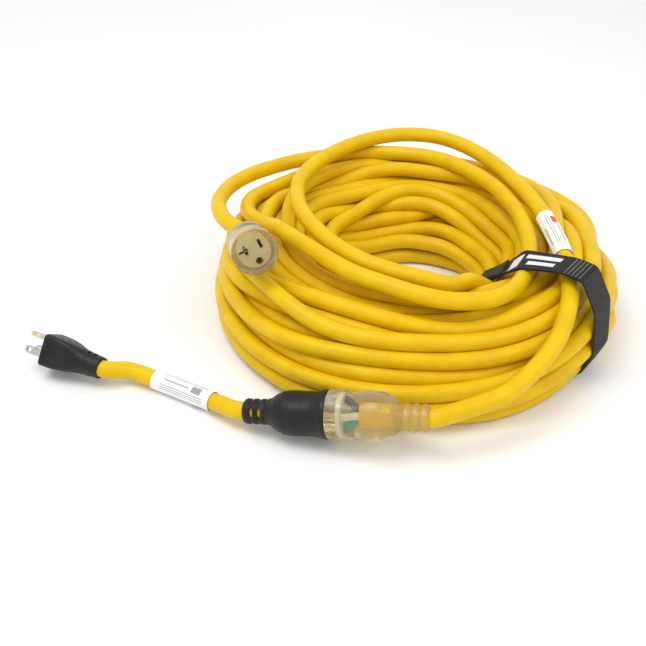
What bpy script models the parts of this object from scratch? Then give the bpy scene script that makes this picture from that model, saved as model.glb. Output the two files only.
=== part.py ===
"""Heavy 3-conductor extension cord, coiled and strapped, with its short adapter plugged on.

A long cord lies in a round coil on the floor. Its plug is mated with the connector of a short
adapter cord, whose own plug lies in front of the coil. Its connector lies on top of the coil.
Metres, +Z up. The origin is under the middle of the whole object, at floor level.
"""

from math import acos, cos, pi, radians, sin, tan

import bmesh
import bpy
from mathutils import Matrix, Vector

# ---------------------------------------------------------------- driving dimensions (metres)
GAP = 0.0003                    # clearance kept between neighbouring solids
COIL_CENTRE = (0.0758, 0.0201, 0.0)   # axis of the coil, measured from the model's origin

CORD_R = 0.00685                # 10/3 cord, 13.7 mm outside
TUNNEL_R = CORD_R + GAP         # bore that a cord passes through
TUBE_STEP = 4 * CORD_R          # point spacing along a cord's tube
WIRE_R = 0.0021                 # insulated conductor
WIRE_PITCH_R = 0.0028           # conductors' distance from the cord's axis

# Section of the coil: corner radius, height and fillet, anticlockwise from the inner foot.
COIL_SECTION = [
    (0.066, 0.000, 0.008),
    (0.157, 0.000, 0.012),
    (0.170, 0.030, 0.030),
    (0.153, 0.060, 0.020),
    (0.127, 0.071, 0.020),
    (0.094, 0.071, 0.020),
    (0.056, 0.026, 0.020),
]
STRAP_AZIMUTH = radians(-38)
STRAP_WIDTH = 0.027
STRAP_THICK = 0.0016
STRAP_NOTCH = 0.0030            # recess in the coil's underside that the strap runs through
# Middle line of the strap round the coil: distance from the coil's axis, height, fillet.
STRAP_LOOP = [
    (0.0580, 0.0012, 0.003),
    (0.1640, 0.0012, 0.008),
    (0.1745, 0.0300, 0.030),
    (0.1700, 0.0640, 0.020),
    (0.1560, 0.0890, 0.010),
    (0.1340, 0.0890, 0.010),
    (0.0930, 0.0785, 0.012),
    (0.0505, 0.0260, 0.020),
]
# Free end of the strap, lapped over the loop down the inner side.
STRAP_TAIL = [(0.1020, 0.0832, 0.0), (0.0905, 0.0802, 0.012), (0.0640, 0.0485, 0.0)]

# NEMA 5-15 / 5-20 contact pattern, seen on the connector's face with +Y up.
BLADE_WIDTH = 0.00635
BLADE_THICK = 0.0015
BLADE_LENGTH = 0.0175
PIN_R = 0.0024
PIN_LENGTH = 0.0206
BLADE_HALF_PITCH = 0.00635
BLADE_Y = 0.0042
PIN_Y = -0.0077
TURNED_BLADE_X = -0.0074        # middle of the 20 A plug's neutral blade, turned a quarter
BLADE_HOLE_R = 0.0018

# Moulded ends
PLUG_TAIL = 0.0730              # face to the end of the strain relief
CONNECTOR_TAIL = 0.0660
ADAPTER_CONNECTOR_TAIL = 0.0640
ADAPTER_PLUG_TAIL = 0.0500
END_R = 0.01810                 # outside of the mating faces
CARRIER_R = 0.0132
CARRIER_DEPTH = 0.0240
CONTACT_FRONT = 0.0045
CONTACT_BACK = 0.0235
JACKET_IN_CONNECTOR = 0.0363    # depth at which the cord's jacket ends, behind a connector's face
WALL_FRONT = 0.0070             # solid front wall of a plug
BRIDGE_THICK = 0.0037
JACKET_IN_PLUG = 0.0243
JACKET_IN_ADAPTER = 0.0258

# The mated pair in front of the coil, from the coil's axis: joint face, then its direction.
PAIR_FACE = (-0.0762, -0.1815, 0.0243)
PAIR_RISE = radians(8.5)
PAIR_SWING = radians(-13)
# The free connector on top of the coil: face, rise and heading of the way it faces, roll.
CONNECTOR_FACE = (-0.1319, -0.0855, 0.1015)
CONNECTOR_RISE = radians(17)
CONNECTOR_HEADING = radians(-77)
CONNECTOR_ROLL = radians(22)
# The adapter's own plug: face, direction of its blades, roll.
ADAPTER_FACE = (-0.2985, -0.0970, 0.0180)
ADAPTER_HEADING = radians(155)
ADAPTER_RISE = radians(3)
ADAPTER_ROLL = radians(-144)

# Routes of the cord where it isn't coiled, from the coil's axis, point by point.
PLUG_LEAD_ROUTE = [
    (0.0080, -0.1950, 0.0370),
    (0.0270, -0.1895, 0.0395),
    (0.0490, -0.1800, 0.0425),
    (0.0720, -0.1600, 0.0480),
    (0.0910, -0.1380, 0.0565),
    (0.1020, -0.1170, 0.0665),
    (0.1085, -0.0920, 0.0750),
    (0.1110, -0.0560, 0.0795),
    (0.1090, -0.0170, 0.0812),
    (0.1040, 0.0200, 0.0830),
    (0.0940, 0.0570, 0.0845),
    (0.0780, 0.0990, 0.0855),
    (0.0570, 0.1320, 0.0865),
    (0.0310, 0.1520, 0.0875),
    (0.0000, 0.1565, 0.0882),
    (-0.0300, 0.1470, 0.0888),
    (-0.0600, 0.1250, 0.0890),
    (-0.0850, 0.0950, 0.0888),
    (-0.1000, 0.0640, 0.0880),
    (-0.1030, 0.0350, 0.0872),
    (-0.0985, 0.0055, 0.0866),
    (-0.0860, -0.0240, 0.0860),
]
CONNECTOR_LEAD_ROUTE = [
    (-0.1640, 0.0030, 0.0800),
    (-0.1720, 0.0330, 0.0785),
    (-0.1670, 0.0630, 0.0775),
    (-0.1520, 0.0890, 0.0765),
    (-0.1310, 0.1090, 0.0755),
    (-0.1050, 0.1260, 0.0748),
    (-0.0740, 0.1380, 0.0744),
    (-0.0450, 0.1430, 0.0746),
    (-0.0140, 0.1405, 0.0760),
    (0.0240, 0.1270, 0.0780),
    (0.0510, 0.1020, 0.0790),
]
ADAPTER_ROUTE = [
    (-0.2330, -0.1150, 0.0110),
    (-0.2110, -0.1235, 0.0088),
    (-0.1850, -0.1375, 0.0083),
    (-0.1600, -0.1530, 0.0100),
]
MOUTH = 0.0015                   # straight stretch of a cord outside its strain relief
CORD_LABEL = (10, 12)            # first and last point of the plug lead's tube under its label
ADAPTER_LABEL = (5, 9)           # the same on the adapter cord's tube
LABEL_IN_R = CORD_R + 0.00055
LABEL_THICK = 0.00030


# ---------------------------------------------------------------- materials
def material(name, colour, roughness, metallic=0.0, alpha=1.0):
    found = bpy.data.materials.new(name)
    found.use_nodes = True
    shader = found.node_tree.nodes["Principled BSDF"]
    shader.inputs["Base Color"].default_value = (*colour, 1.0)
    shader.inputs["Roughness"].default_value = roughness
    shader.inputs["Metallic"].default_value = metallic
    shader.inputs["Alpha"].default_value = alpha
    return found


# ---------------------------------------------------------------- building blocks
def finish(obj, collection, finish_material=None, parent=None):
    collection.objects.link(obj)
    obj.parent = parent
    if finish_material:
        obj.data.materials.append(finish_material)
    return obj


def mesh_object(name, bm, collection, finish_material=None, parent=None):
    bmesh.ops.recalc_face_normals(bm, faces=bm.faces)
    mesh = bpy.data.meshes.new(name)
    bm.to_mesh(mesh)
    bm.free()
    return finish(bpy.data.objects.new(name, mesh), collection, finish_material, parent)


def empty(name, collection, matrix, parent=None):
    obj = bpy.data.objects.new(name, None)
    collection.objects.link(obj)
    obj.parent = parent
    obj.matrix_local = matrix
    return obj


def direction(rise, heading):
    return Vector((cos(rise) * cos(heading), cos(rise) * sin(heading), sin(rise)))


def facing(place, forward, roll):
    """Placement with local +Z along forward and local +Y up, turned by roll about forward."""
    forward = forward.normalized()
    side = Vector((0, 0, 1)).cross(forward).normalized()
    up = forward.cross(side)
    turned_side = side * cos(roll) + up * sin(roll)
    turned_up = up * cos(roll) - side * sin(roll)
    turn = Matrix((turned_side, turned_up, forward)).transposed()
    return Matrix.Translation(place) @ turn.to_4x4()


def filleted(corners, arc_steps):
    """Outline through corners (a, b, fillet), each corner rounded to its fillet."""
    outline = []
    count = len(corners)
    for i, (a, b, fillet) in enumerate(corners):
        here = Vector((a, b))
        before = Vector(corners[i - 1][:2]) - here
        after = Vector(corners[(i + 1) % count][:2]) - here
        if fillet == 0:
            outline.append(here)
            continue
        half = acos(max(-1, min(1, before.normalized().dot(after.normalized())))) / 2
        reach = min(fillet / tan(half), 0.48 * before.length, 0.48 * after.length)
        fillet = reach * tan(half)
        middle = here + (before.normalized() + after.normalized()).normalized() * fillet / sin(half)
        start = here + before.normalized() * reach - middle
        end = here + after.normalized() * reach - middle
        sweep = start.angle_signed(end)
        for step in range(arc_steps + 1):
            turned = Matrix.Rotation(-sweep * step / arc_steps, 2) @ start
            outline.append(middle + turned)
    return outline


def turned(name, profile, collection, finish_material=None, parent=None, steps=32, closed=False):
    """Solid of revolution about local Z. The profile of (radius, height) runs down its outer side."""
    bm = bmesh.new()
    points = [bm.verts.new((radius, 0, height)) for radius, height in profile]
    pairs = list(zip(points, points[1:]))
    if closed:
        pairs.append((points[-1], points[0]))
    for pair in pairs:
        bm.edges.new(pair)
    mesh = bpy.data.meshes.new(name)
    bm.to_mesh(mesh)
    bm.free()
    obj = finish(bpy.data.objects.new(name, mesh), collection, finish_material, parent)
    screw = obj.modifiers.new("turn", "SCREW")
    screw.steps = steps
    screw.render_steps = steps
    screw.use_merge_vertices = True
    screw.merge_threshold = 0.00001
    screw.use_smooth_shade = True
    return obj


def block(name, size, middle, collection, finish_material=None, parent=None):
    bm = bmesh.new()
    bmesh.ops.create_cube(bm, size=1.0)
    bmesh.ops.scale(bm, vec=size, verts=bm.verts)
    bmesh.ops.translate(bm, vec=middle, verts=bm.verts)
    return mesh_object(name, bm, collection, finish_material, parent)


def rod(name, radius, low, high, place, collection, finish_material=None, parent=None, sides=20):
    bm = bmesh.new()
    bmesh.ops.create_cone(
        bm, cap_ends=True, segments=sides, radius1=radius, radius2=radius, depth=high - low
    )
    bmesh.ops.translate(bm, vec=(place[0], place[1], (low + high) / 2), verts=bm.verts)
    return mesh_object(name, bm, collection, finish_material, parent)


def cut(obj, *cutters):
    for cutter in cutters:
        cutter.hide_render = True
        cutter.display_type = "WIRE"
        boolean = obj.modifiers.new("cut " + cutter.name, "BOOLEAN")
        boolean.operation = "DIFFERENCE"
        boolean.object = cutter


def smooth_route(points, leave, arrive, dense=16):
    """Points close together on a smooth curve through the given ones, with its end directions."""
    points = [Vector(point) for point in points]
    before_start = points[1] - 2 * (points[1] - points[0]).length * leave
    after_end = points[-2] + 2 * (points[-1] - points[-2]).length * arrive
    padded = [before_start, *points, after_end]
    route = []
    for before, start, end, after in zip(padded, padded[1:], padded[2:], padded[3:]):
        for step in range(dense):
            t = step / dense
            bend = 2 * start + (end - before) * t
            bend += (2 * before - 5 * start + 4 * end - after) * t**2
            bend += (3 * start - before - 3 * end + after) * t**3
            route.append(bend / 2)
    route.append(points[-1])
    return route


def stretch(route, start, end, spacing):
    """Evenly spaced points of the route between two distances along it."""
    travelled = [0.0]
    for here, there in zip(route, route[1:]):
        travelled.append(travelled[-1] + (there - here).length)
    end = min(end, travelled[-1])
    count = max(2, round((end - start) / spacing))
    found = []
    index = 0
    for step in range(count + 1):
        wanted = start + (end - start) * step / count
        while index < len(route) - 2 and travelled[index + 1] < wanted:
            index += 1
        share = (wanted - travelled[index]) / (travelled[index + 1] - travelled[index])
        found.append(route[index].lerp(route[index + 1], share))
    return found


def tube(name, points, radius, collection, finish_material, parent=None, fineness=3, caps=True):
    data = bpy.data.curves.new(name, "CURVE")
    data.dimensions = "3D"
    data.bevel_depth = radius
    data.bevel_resolution = fineness
    data.use_fill_caps = caps
    spline = data.splines.new("POLY")
    spline.points.add(len(points) - 1)
    for point, place in zip(spline.points, points):
        point.co = (*place, 1.0)
    return finish(bpy.data.objects.new(name, data), collection, finish_material, parent)


def sleeve(name, points, collection, finish_material, parent):
    """Paper label wrapped round a cord: an open tube given a thickness."""
    guide = tube(name + "_guide", points, LABEL_IN_R, collection, finish_material, caps=False)
    bpy.context.view_layer.update()
    evaluated = guide.evaluated_get(bpy.context.evaluated_depsgraph_get())
    mesh = bpy.data.meshes.new_from_object(evaluated)
    bpy.data.objects.remove(guide)
    mesh.materials.clear()
    obj = finish(bpy.data.objects.new(name, mesh), collection, finish_material, parent)
    wall = obj.modifiers.new("paper", "SOLIDIFY")
    wall.thickness = LABEL_THICK
    wall.offset = 1.0
    return obj


def band(name, outlines, width, collection, finish_material, parent):
    """Flat outline in the local XY plane, extruded to the width."""
    data = bpy.data.curves.new(name, "CURVE")
    data.dimensions = "2D"
    data.fill_mode = "BOTH"
    data.extrude = width / 2
    for outline in outlines:
        spline = data.splines.new("POLY")
        spline.points.add(len(outline) - 1)
        for point, (a, b) in zip(spline.points, outline):
            point.co = (a, b, 0.0, 1.0)
        spline.use_cyclic_u = True
    return finish(bpy.data.objects.new(name, data), collection, finish_material, parent)


def beside(line, distance, cyclic):
    """The line shifted sideways by a distance, to its left."""
    count = len(line)
    shifted = []
    for i, here in enumerate(line):
        before = line[i - 1] if cyclic or i else here
        after = line[(i + 1) % count] if cyclic or i < count - 1 else here
        along = (after - before).normalized()
        shifted.append(here + Vector((-along.y, along.x)) * distance)
    return shifted


def superellipse(half_x, half_y, power, height, sides=28):
    ring = []
    for side in range(sides):
        c, s = cos(2 * pi * side / sides), sin(2 * pi * side / sides)
        x = half_x * abs(c) ** (2 / power) * (1 if c >= 0 else -1)
        y = half_y * abs(s) ** (2 / power) * (1 if s >= 0 else -1)
        ring.append((x, y, height))
    return ring


def loft(name, rings, collection, finish_material, parent):
    bm = bmesh.new()
    loops = [[bm.verts.new(point) for point in ring] for ring in rings]
    for lower, upper in zip(loops, loops[1:]):
        for i in range(len(lower)):
            j = (i + 1) % len(lower)
            bm.faces.new((lower[i], lower[j], upper[j], upper[i]))
    bm.faces.new(loops[0])
    bm.faces.new(loops[-1])
    return mesh_object(name, bm, collection, finish_material, parent)


# ---------------------------------------------------------------- sub-assemblies
def conductor_place(colour, flip=1):
    """Where a conductor leaves the cord's end, across its axis."""
    angle = {"black": radians(30), "white": radians(150), "green": radians(-90)}[colour]
    return WIRE_PITCH_R * cos(angle) * flip, WIRE_PITCH_R * sin(angle)


def wires(prefix, terminals, terminal_depth, jacket_depth, flip, use):
    """Three insulated conductors from the cord's end to the terminals, in S bends."""
    way = 1 if terminal_depth > jacket_depth else -1
    jacket_depth += way * 2 * GAP
    terminal_depth -= way * 2 * GAP
    for colour, (x, y) in terminals.items():
        inner_x, inner_y = conductor_place(colour, flip)
        points = []
        for step in range(6):
            share = step / 5
            ease = share * share * (3 - 2 * share)
            depth = jacket_depth + (terminal_depth - jacket_depth) * share
            points.append((inner_x + (x - inner_x) * ease, inner_y + (y - inner_y) * ease, depth))
        tube(f"{prefix}_wire_{colour}", points, WIRE_R, use["parts"], use[colour], use["frame"], 2)


def contact_cutters(prefix, use):
    """Slots of a 20 A face and, behind them, the pockets that hold the contacts."""
    made = []

    def slot(label, size_x, size_y, x, y, low, high):
        size = (size_x, size_y, high - low)
        middle = (x, y, (low + high) / 2)
        made.append(block(f"{prefix}_{label}", size, middle, use["cutters"], None, use["frame"]))

    front = 0.001
    back = -CARRIER_DEPTH - 0.001
    pocket = -CONTACT_FRONT + 2 * GAP
    slot("hot_mouth", 0.0023, 0.0076, BLADE_HALF_PITCH, BLADE_Y, back, front)
    slot("neutral_mouth", 0.0023, 0.0076, -BLADE_HALF_PITCH, BLADE_Y, back, front)
    slot("turned_mouth", 0.0076, 0.0023, TURNED_BLADE_X, BLADE_Y, back, front)
    slot("hot_pocket", 0.0039, 0.0077, BLADE_HALF_PITCH, BLADE_Y, back, pocket)
    slot("turned_pocket", 0.0077, 0.0039, TURNED_BLADE_X, BLADE_Y, back, pocket)
    for label, radius, high in (("ground_mouth", 0.0029, front), ("ground_pocket", 0.0039, pocket)):
        place = (0, PIN_Y)
        name = f"{prefix}_{label}"
        made.append(rod(name, radius, back, high, place, use["cutters"], None, use["frame"]))
    return made


def contact_set(prefix, use):
    """Insulating carrier with its three brass contacts and their wires. The face is at z = 0."""
    carrier = rod(
        prefix + "_carrier", CARRIER_R, -CARRIER_DEPTH, 0, (0, 0),
        use["parts"], use["carrier"], use["frame"], 40,
    )
    cut(carrier, *contact_cutters(prefix, use))
    length = CONTACT_BACK - CONTACT_FRONT
    middle_z = -(CONTACT_BACK + CONTACT_FRONT) / 2
    mouth_z = middle_z + 0.002
    clip = (0.0031, 0.0068)
    gape = (BLADE_THICK + 2 * GAP, 0.0080)
    for label, x, turn in (("hot", BLADE_HALF_PITCH, 1), ("neutral", TURNED_BLADE_X, -1)):
        outer = (*clip[::turn], length)
        inner = (*gape[::turn], length)
        name = f"{prefix}_contact_{label}"
        middle = (x, BLADE_Y, middle_z)
        contact = block(name, outer, middle, use["parts"], use["brass"], use["frame"])
        middle = (x, BLADE_Y, mouth_z)
        cut(contact, block(name + "_gape", inner, middle, use["cutters"], None, use["frame"]))
    sleeve_profile = [
        (PIN_R + GAP, -CONTACT_FRONT),
        (0.0035, -CONTACT_FRONT),
        (0.0035, -CONTACT_BACK),
        (PIN_R + GAP, -CONTACT_BACK),
    ]
    ground = turned(
        prefix + "_contact_ground", sleeve_profile, use["parts"], use["brass"], use["frame"],
        20, closed=True,
    )
    ground.location = (0, PIN_Y, 0)
    terminals = {
        "black": (BLADE_HALF_PITCH, BLADE_Y),
        "white": (TURNED_BLADE_X, BLADE_Y),
        "green": (0, PIN_Y),
    }
    wires(prefix, terminals, -CARRIER_DEPTH, -JACKET_IN_CONNECTOR, 1, use)


def blade(name, size_x, size_y, x, back, tip, use):
    """Flat blade along local Z."""
    low, high = min(back, tip), max(back, tip)
    obj = block(name, (size_x, size_y, high - low), (x, BLADE_Y, (low + high) / 2),
                use["parts"], use["steel"], use["frame"])
    return obj


def ground_pin(name, back, tip, use):
    """Round pin with a domed tip, along local Z from back to tip."""
    way = 1 if tip > back else -1
    dome = [(PIN_R * cos(radians(a)), tip - way * PIN_R * (1 - sin(radians(a)))) for a in (0, 30, 60)]
    profile = [(0, tip), *reversed(dome), (PIN_R, back), (0, back)]
    if way < 0:
        profile.reverse()
    pin = turned(name, profile, use["parts"], use["brass"], use["frame"], 20)
    pin.location = (0, PIN_Y, 0)


def pierced(obj, prefix, low, high, holes, pin, use):
    """Clearance holes through obj for blades (size_x, size_y, x) and for the ground pin."""
    for i, (size_x, size_y, x) in enumerate(holes):
        size = (size_x + 2 * GAP, size_y + 2 * GAP, high - low)
        middle = (x, BLADE_Y, (low + high) / 2)
        cut(obj, block(f"{prefix}_hole_{i}", size, middle, use["cutters"], None, use["frame"]))
    if pin:
        name = prefix + "_pin_hole"
        cut(obj, rod(name, PIN_R + GAP, low, high, (0, PIN_Y), use["cutters"], None, use["frame"]))


def windows(obj, prefix, depths, size, use):
    """Flex windows cut right through a strain relief."""
    for i, depth in enumerate(depths):
        name = f"{prefix}_window_{i}"
        cut(obj, block(name, size, (0, 0, depth), use["cutters"], None, use["frame"]))


def strain_rings(radius, start, end, count, lip):
    """Points (radius, z) of a ringed strain relief, from start to end."""
    points = []
    for i in range(count):
        low = start + (end - start) * i / count
        step = (end - start) / count
        points.append((radius, low + 0.15 * step))
        points.append((radius + lip, low + 0.50 * step))
        points.append((radius + lip, low + step))
    return points


def connector_shell(name, outside, tail, finish_material, use):
    """Moulded connector body: a bore for the carrier, a cone and a tunnel for the cord."""
    profile = [(CARRIER_R + GAP, 0.0), *outside]
    profile += [(TUNNEL_R, -tail), (TUNNEL_R, -0.0362), (CARRIER_R + GAP, -0.0260)]
    return turned(name, profile, use["parts"], finish_material, use["frame"], 28, closed=True)


def adapter_connector(use):
    outside = [
        (0.0173, 0.0), (END_R, -0.0010), (END_R, -0.0020), (0.0170, -0.0060), (0.0162, -0.0110),
        (0.0163, -0.0150), (0.0168, -0.0190), (0.0168, -0.0250), (0.0163, -0.0310),
        (0.0148, -0.0360), (0.0114, -0.0415), (0.0094, -0.0455), (0.0091, -0.0540),
        (0.0085, -0.0630), (0.0080, -ADAPTER_CONNECTOR_TAIL),
    ]
    tail = ADAPTER_CONNECTOR_TAIL
    shell = connector_shell("adapter_connector_body", outside, tail, use["black_pvc"], use)
    windows(shell, "adapter_connector", (-0.0515, -0.0575), (0.040, 0.0072, 0.0026), use)
    contact_set("adapter_connector", use)


def free_connector(use):
    outside = [
        (0.0173, 0.0), (END_R, -0.0012), (END_R, -0.0120), (0.0178, -0.0200), (END_R, -0.0270),
        (0.0172, -0.0330), (0.0150, -0.0380), (0.0118, -0.0420),
        *[(r, -z) for r, z in strain_rings(0.0088, 0.0440, CONNECTOR_TAIL, 3, 0.0011)],
    ]
    connector_shell("connector_body", outside, CONNECTOR_TAIL, use["clear_pvc"], use)
    contact_set("connector", use)


def main_plug(use):
    """Clear 20 A plug. Its front wall touches z = 0 and its body runs along +Z."""
    outside = [
        (0.0173, GAP), (END_R, 0.0012), (END_R, 0.0090), (0.0178, 0.0200), (END_R, 0.0300),
        (0.0178, 0.0380), (0.0160, 0.0440), (0.0128, 0.0485), (0.0102, 0.0515),
        *strain_rings(0.0088, 0.0530, PLUG_TAIL, 3, 0.0010),
    ]
    cavity = [(0, WALL_FRONT), (0.0125, WALL_FRONT), (0.0125, 0.0180), (TUNNEL_R, 0.0240)]
    profile = [*cavity, (TUNNEL_R, PLUG_TAIL), *reversed(outside), (0, GAP)]
    shell = turned("plug_body", profile, use["parts"], use["clear_pvc"], use["frame"], 28)
    hot = (BLADE_THICK, BLADE_WIDTH, BLADE_HALF_PITCH)
    neutral = (BLADE_WIDTH, BLADE_THICK, TURNED_BLADE_X)
    pierced(shell, "plug_front", -0.001, WALL_FRONT + 0.001, (hot, neutral), True, use)
    grip = rod("plug_grip", 0.0190, -0.030, 0.030, (0, 0), use["cutters"], None, use["frame"], 48)
    grip.rotation_euler = (0, pi / 2, 0)
    grip.location = (0, 0.0345, 0.0170)
    cut(shell, grip)
    low = WALL_FRONT + GAP
    bridge = rod("plug_bridge", 0.0121, low, low + BRIDGE_THICK, (0, 0),
                 use["parts"], use["nylon"], use["frame"], 32)
    pierced(bridge, "plug_bridge", low - 0.001, low + BRIDGE_THICK + 0.001, (hot, neutral), True, use)
    back = low + BRIDGE_THICK + GAP
    blade("plug_blade_hot", *hot[:2], hot[2], back, -BLADE_LENGTH, use)
    blade("plug_blade_neutral", *neutral[:2], neutral[2], back, -BLADE_LENGTH, use)
    ground_pin("plug_ground_pin", back, -PIN_LENGTH, use)
    terminals = {
        "black": (BLADE_HALF_PITCH, BLADE_Y),
        "white": (TURNED_BLADE_X, BLADE_Y),
        "green": (0, PIN_Y),
    }
    wires("plug", terminals, back, JACKET_IN_PLUG, 1, use)


def adapter_plug(use):
    """Black 15 A plug. Its blades point along +Z and its body runs along -Z."""
    stations = [
        (0.0114, 0.0120, 4.0, 0.0), (0.0124, 0.0130, 4.0, -0.0012), (0.0124, 0.0130, 4.0, -0.0150),
        (0.0112, 0.0118, 3.2, -0.0240), (0.0101, 0.0103, 2.3, -0.0300), (0.0098, 0.0099, 2.0, -0.0340),
        (0.0087, 0.0087, 2.0, -0.0490), (0.0082, 0.0082, 2.0, -ADAPTER_PLUG_TAIL),
    ]
    rings = [superellipse(half_x, half_y, power, z) for half_x, half_y, power, z in stations]
    shell = loft("adapter_plug_body", rings, use["parts"], use["black_pvc"], use["frame"])
    hollow = turned(
        "adapter_plug_hollow",
        [(0, -0.0060), (0.0107, -0.0060), (0.0107, -0.0180), (TUNNEL_R, -0.0255),
         (TUNNEL_R, -0.0520), (0, -0.0520)],
        use["cutters"], None, use["frame"], 32,
    )
    cut(shell, hollow)
    near = (BLADE_THICK, BLADE_WIDTH, -BLADE_HALF_PITCH)
    far = (BLADE_THICK, BLADE_WIDTH, BLADE_HALF_PITCH)
    pierced(shell, "adapter_front", -0.0070, 0.001, (near, far), True, use)
    windows(shell, "adapter_neck", (-0.0370, -0.0425), (0.0072, 0.040, 0.0022), use)
    high = -0.0060 - GAP
    low = high - BRIDGE_THICK
    bridge = rod("adapter_plug_bridge", 0.0104, low, high, (0, 0),
                 use["parts"], use["nylon"], use["frame"], 32)
    pierced(bridge, "adapter_bridge", low - 0.001, high + 0.001, (near, far), True, use)
    back = low - GAP
    tip_hole = rod("adapter_blade_holes", BLADE_HOLE_R, -0.02, 0.02, (0, 0),
                   use["cutters"], None, use["frame"])
    tip_hole.rotation_euler = (0, pi / 2, 0)
    tip_hole.location = (0, BLADE_Y, 0.0135)
    for name, size in (("adapter_blade_hot", near), ("adapter_blade_neutral", far)):
        cut(blade(name, *size, back, BLADE_LENGTH, use), tip_hole)
    ground_pin("adapter_ground_pin", back, PIN_LENGTH, use)
    terminals = {
        "black": (-BLADE_HALF_PITCH, BLADE_Y),
        "white": (BLADE_HALF_PITCH, BLADE_Y),
        "green": (0, PIN_Y),
    }
    wires("adapter_plug", terminals, back, -JACKET_IN_ADAPTER, -1, use)


def coil_and_strap(use):
    """The wound cord as one turned ring, with the strap round it."""
    section = filleted(COIL_SECTION, 2)
    section.reverse()
    coil = turned("cord_coil", section, use["parts"], use["yellow_pvc"], use["frame"], 56, closed=True)
    plane = Matrix.Rotation(STRAP_AZIMUTH, 4, "Z") @ Matrix.Rotation(pi / 2, 4, "X")
    strap_plane = empty("strap_plane", use["parts"], plane, use["frame"])
    notch_length = 0.130
    size = (notch_length, 2 * STRAP_NOTCH, STRAP_WIDTH + 0.004)
    cut(coil, block("strap_notch", size, (0.112, 0, 0), use["cutters"], None, strap_plane))
    loop = filleted(STRAP_LOOP, 4)
    outer = beside(loop, -STRAP_THICK / 2, True)
    inner = beside(loop, STRAP_THICK / 2, True)
    band("strap_band", (outer, inner), STRAP_WIDTH, use["parts"], use["webbing"], strap_plane)
    tail = filleted(STRAP_TAIL, 4)
    outline = beside(tail, STRAP_THICK / 2, False)
    outline += reversed(beside(tail, -STRAP_THICK / 2, False))
    band("strap_tail", (outline,), STRAP_WIDTH, use["parts"], use["webbing"], strap_plane)


def along_axis(frame_matrix, depth):
    return frame_matrix @ Vector((0, 0, depth))


def axis_of(frame_matrix):
    return frame_matrix.to_3x3() @ Vector((0, 0, 1))


def inside(frame_matrix, jacket, mouth):
    """Straight points of a cord inside a moulding, from its cut end to the strain relief."""
    return [along_axis(frame_matrix, jacket), along_axis(frame_matrix, (jacket + mouth) / 2)]


def free_cords(pair, connector, adapter, use):
    """The stretches of cord that aren't coiled, and the labels on them."""
    frame, parts = use["frame"], use["parts"]
    yellow, paper = use["yellow_pvc"], use["paper"]

    mouth = PLUG_TAIL + MOUTH
    points = [along_axis(pair, mouth), *PLUG_LEAD_ROUTE]
    away = (Vector(PLUG_LEAD_ROUTE[-1]) - Vector(PLUG_LEAD_ROUTE[-2])).normalized()
    route = smooth_route(points, axis_of(pair), away)
    points = inside(pair, JACKET_IN_PLUG, mouth) + stretch(route, 0, 9, TUBE_STEP)
    tube("cord_plug_lead", points, CORD_R, parts, yellow, frame)
    first, last = CORD_LABEL
    sleeve("cord_label", points[first : last + 1], parts, paper, frame)

    mouth = -CONNECTOR_TAIL - MOUTH
    points = [along_axis(connector, mouth), *CONNECTOR_LEAD_ROUTE]
    away = (Vector(CONNECTOR_LEAD_ROUTE[-1]) - Vector(CONNECTOR_LEAD_ROUTE[-2])).normalized()
    route = smooth_route(points, -axis_of(connector), away)
    points = inside(connector, -JACKET_IN_CONNECTOR, mouth) + stretch(route, 0, 9, TUBE_STEP)
    tube("cord_connector_lead", points, CORD_R, parts, yellow, frame)

    mouth = -ADAPTER_PLUG_TAIL - MOUTH
    far_mouth = -ADAPTER_CONNECTOR_TAIL - MOUTH
    points = [along_axis(adapter, mouth), *ADAPTER_ROUTE, along_axis(pair, far_mouth)]
    route = smooth_route(points, -axis_of(adapter), axis_of(pair))
    points = inside(adapter, -JACKET_IN_ADAPTER, mouth) + stretch(route, 0, 9, TUBE_STEP / 2)
    points += reversed(inside(pair, -JACKET_IN_CONNECTOR, far_mouth))
    tube("adapter_cord", points, CORD_R, parts, yellow, frame)
    first, last = ADAPTER_LABEL
    sleeve("adapter_label", points[first : last + 1], parts, paper, frame)


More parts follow.
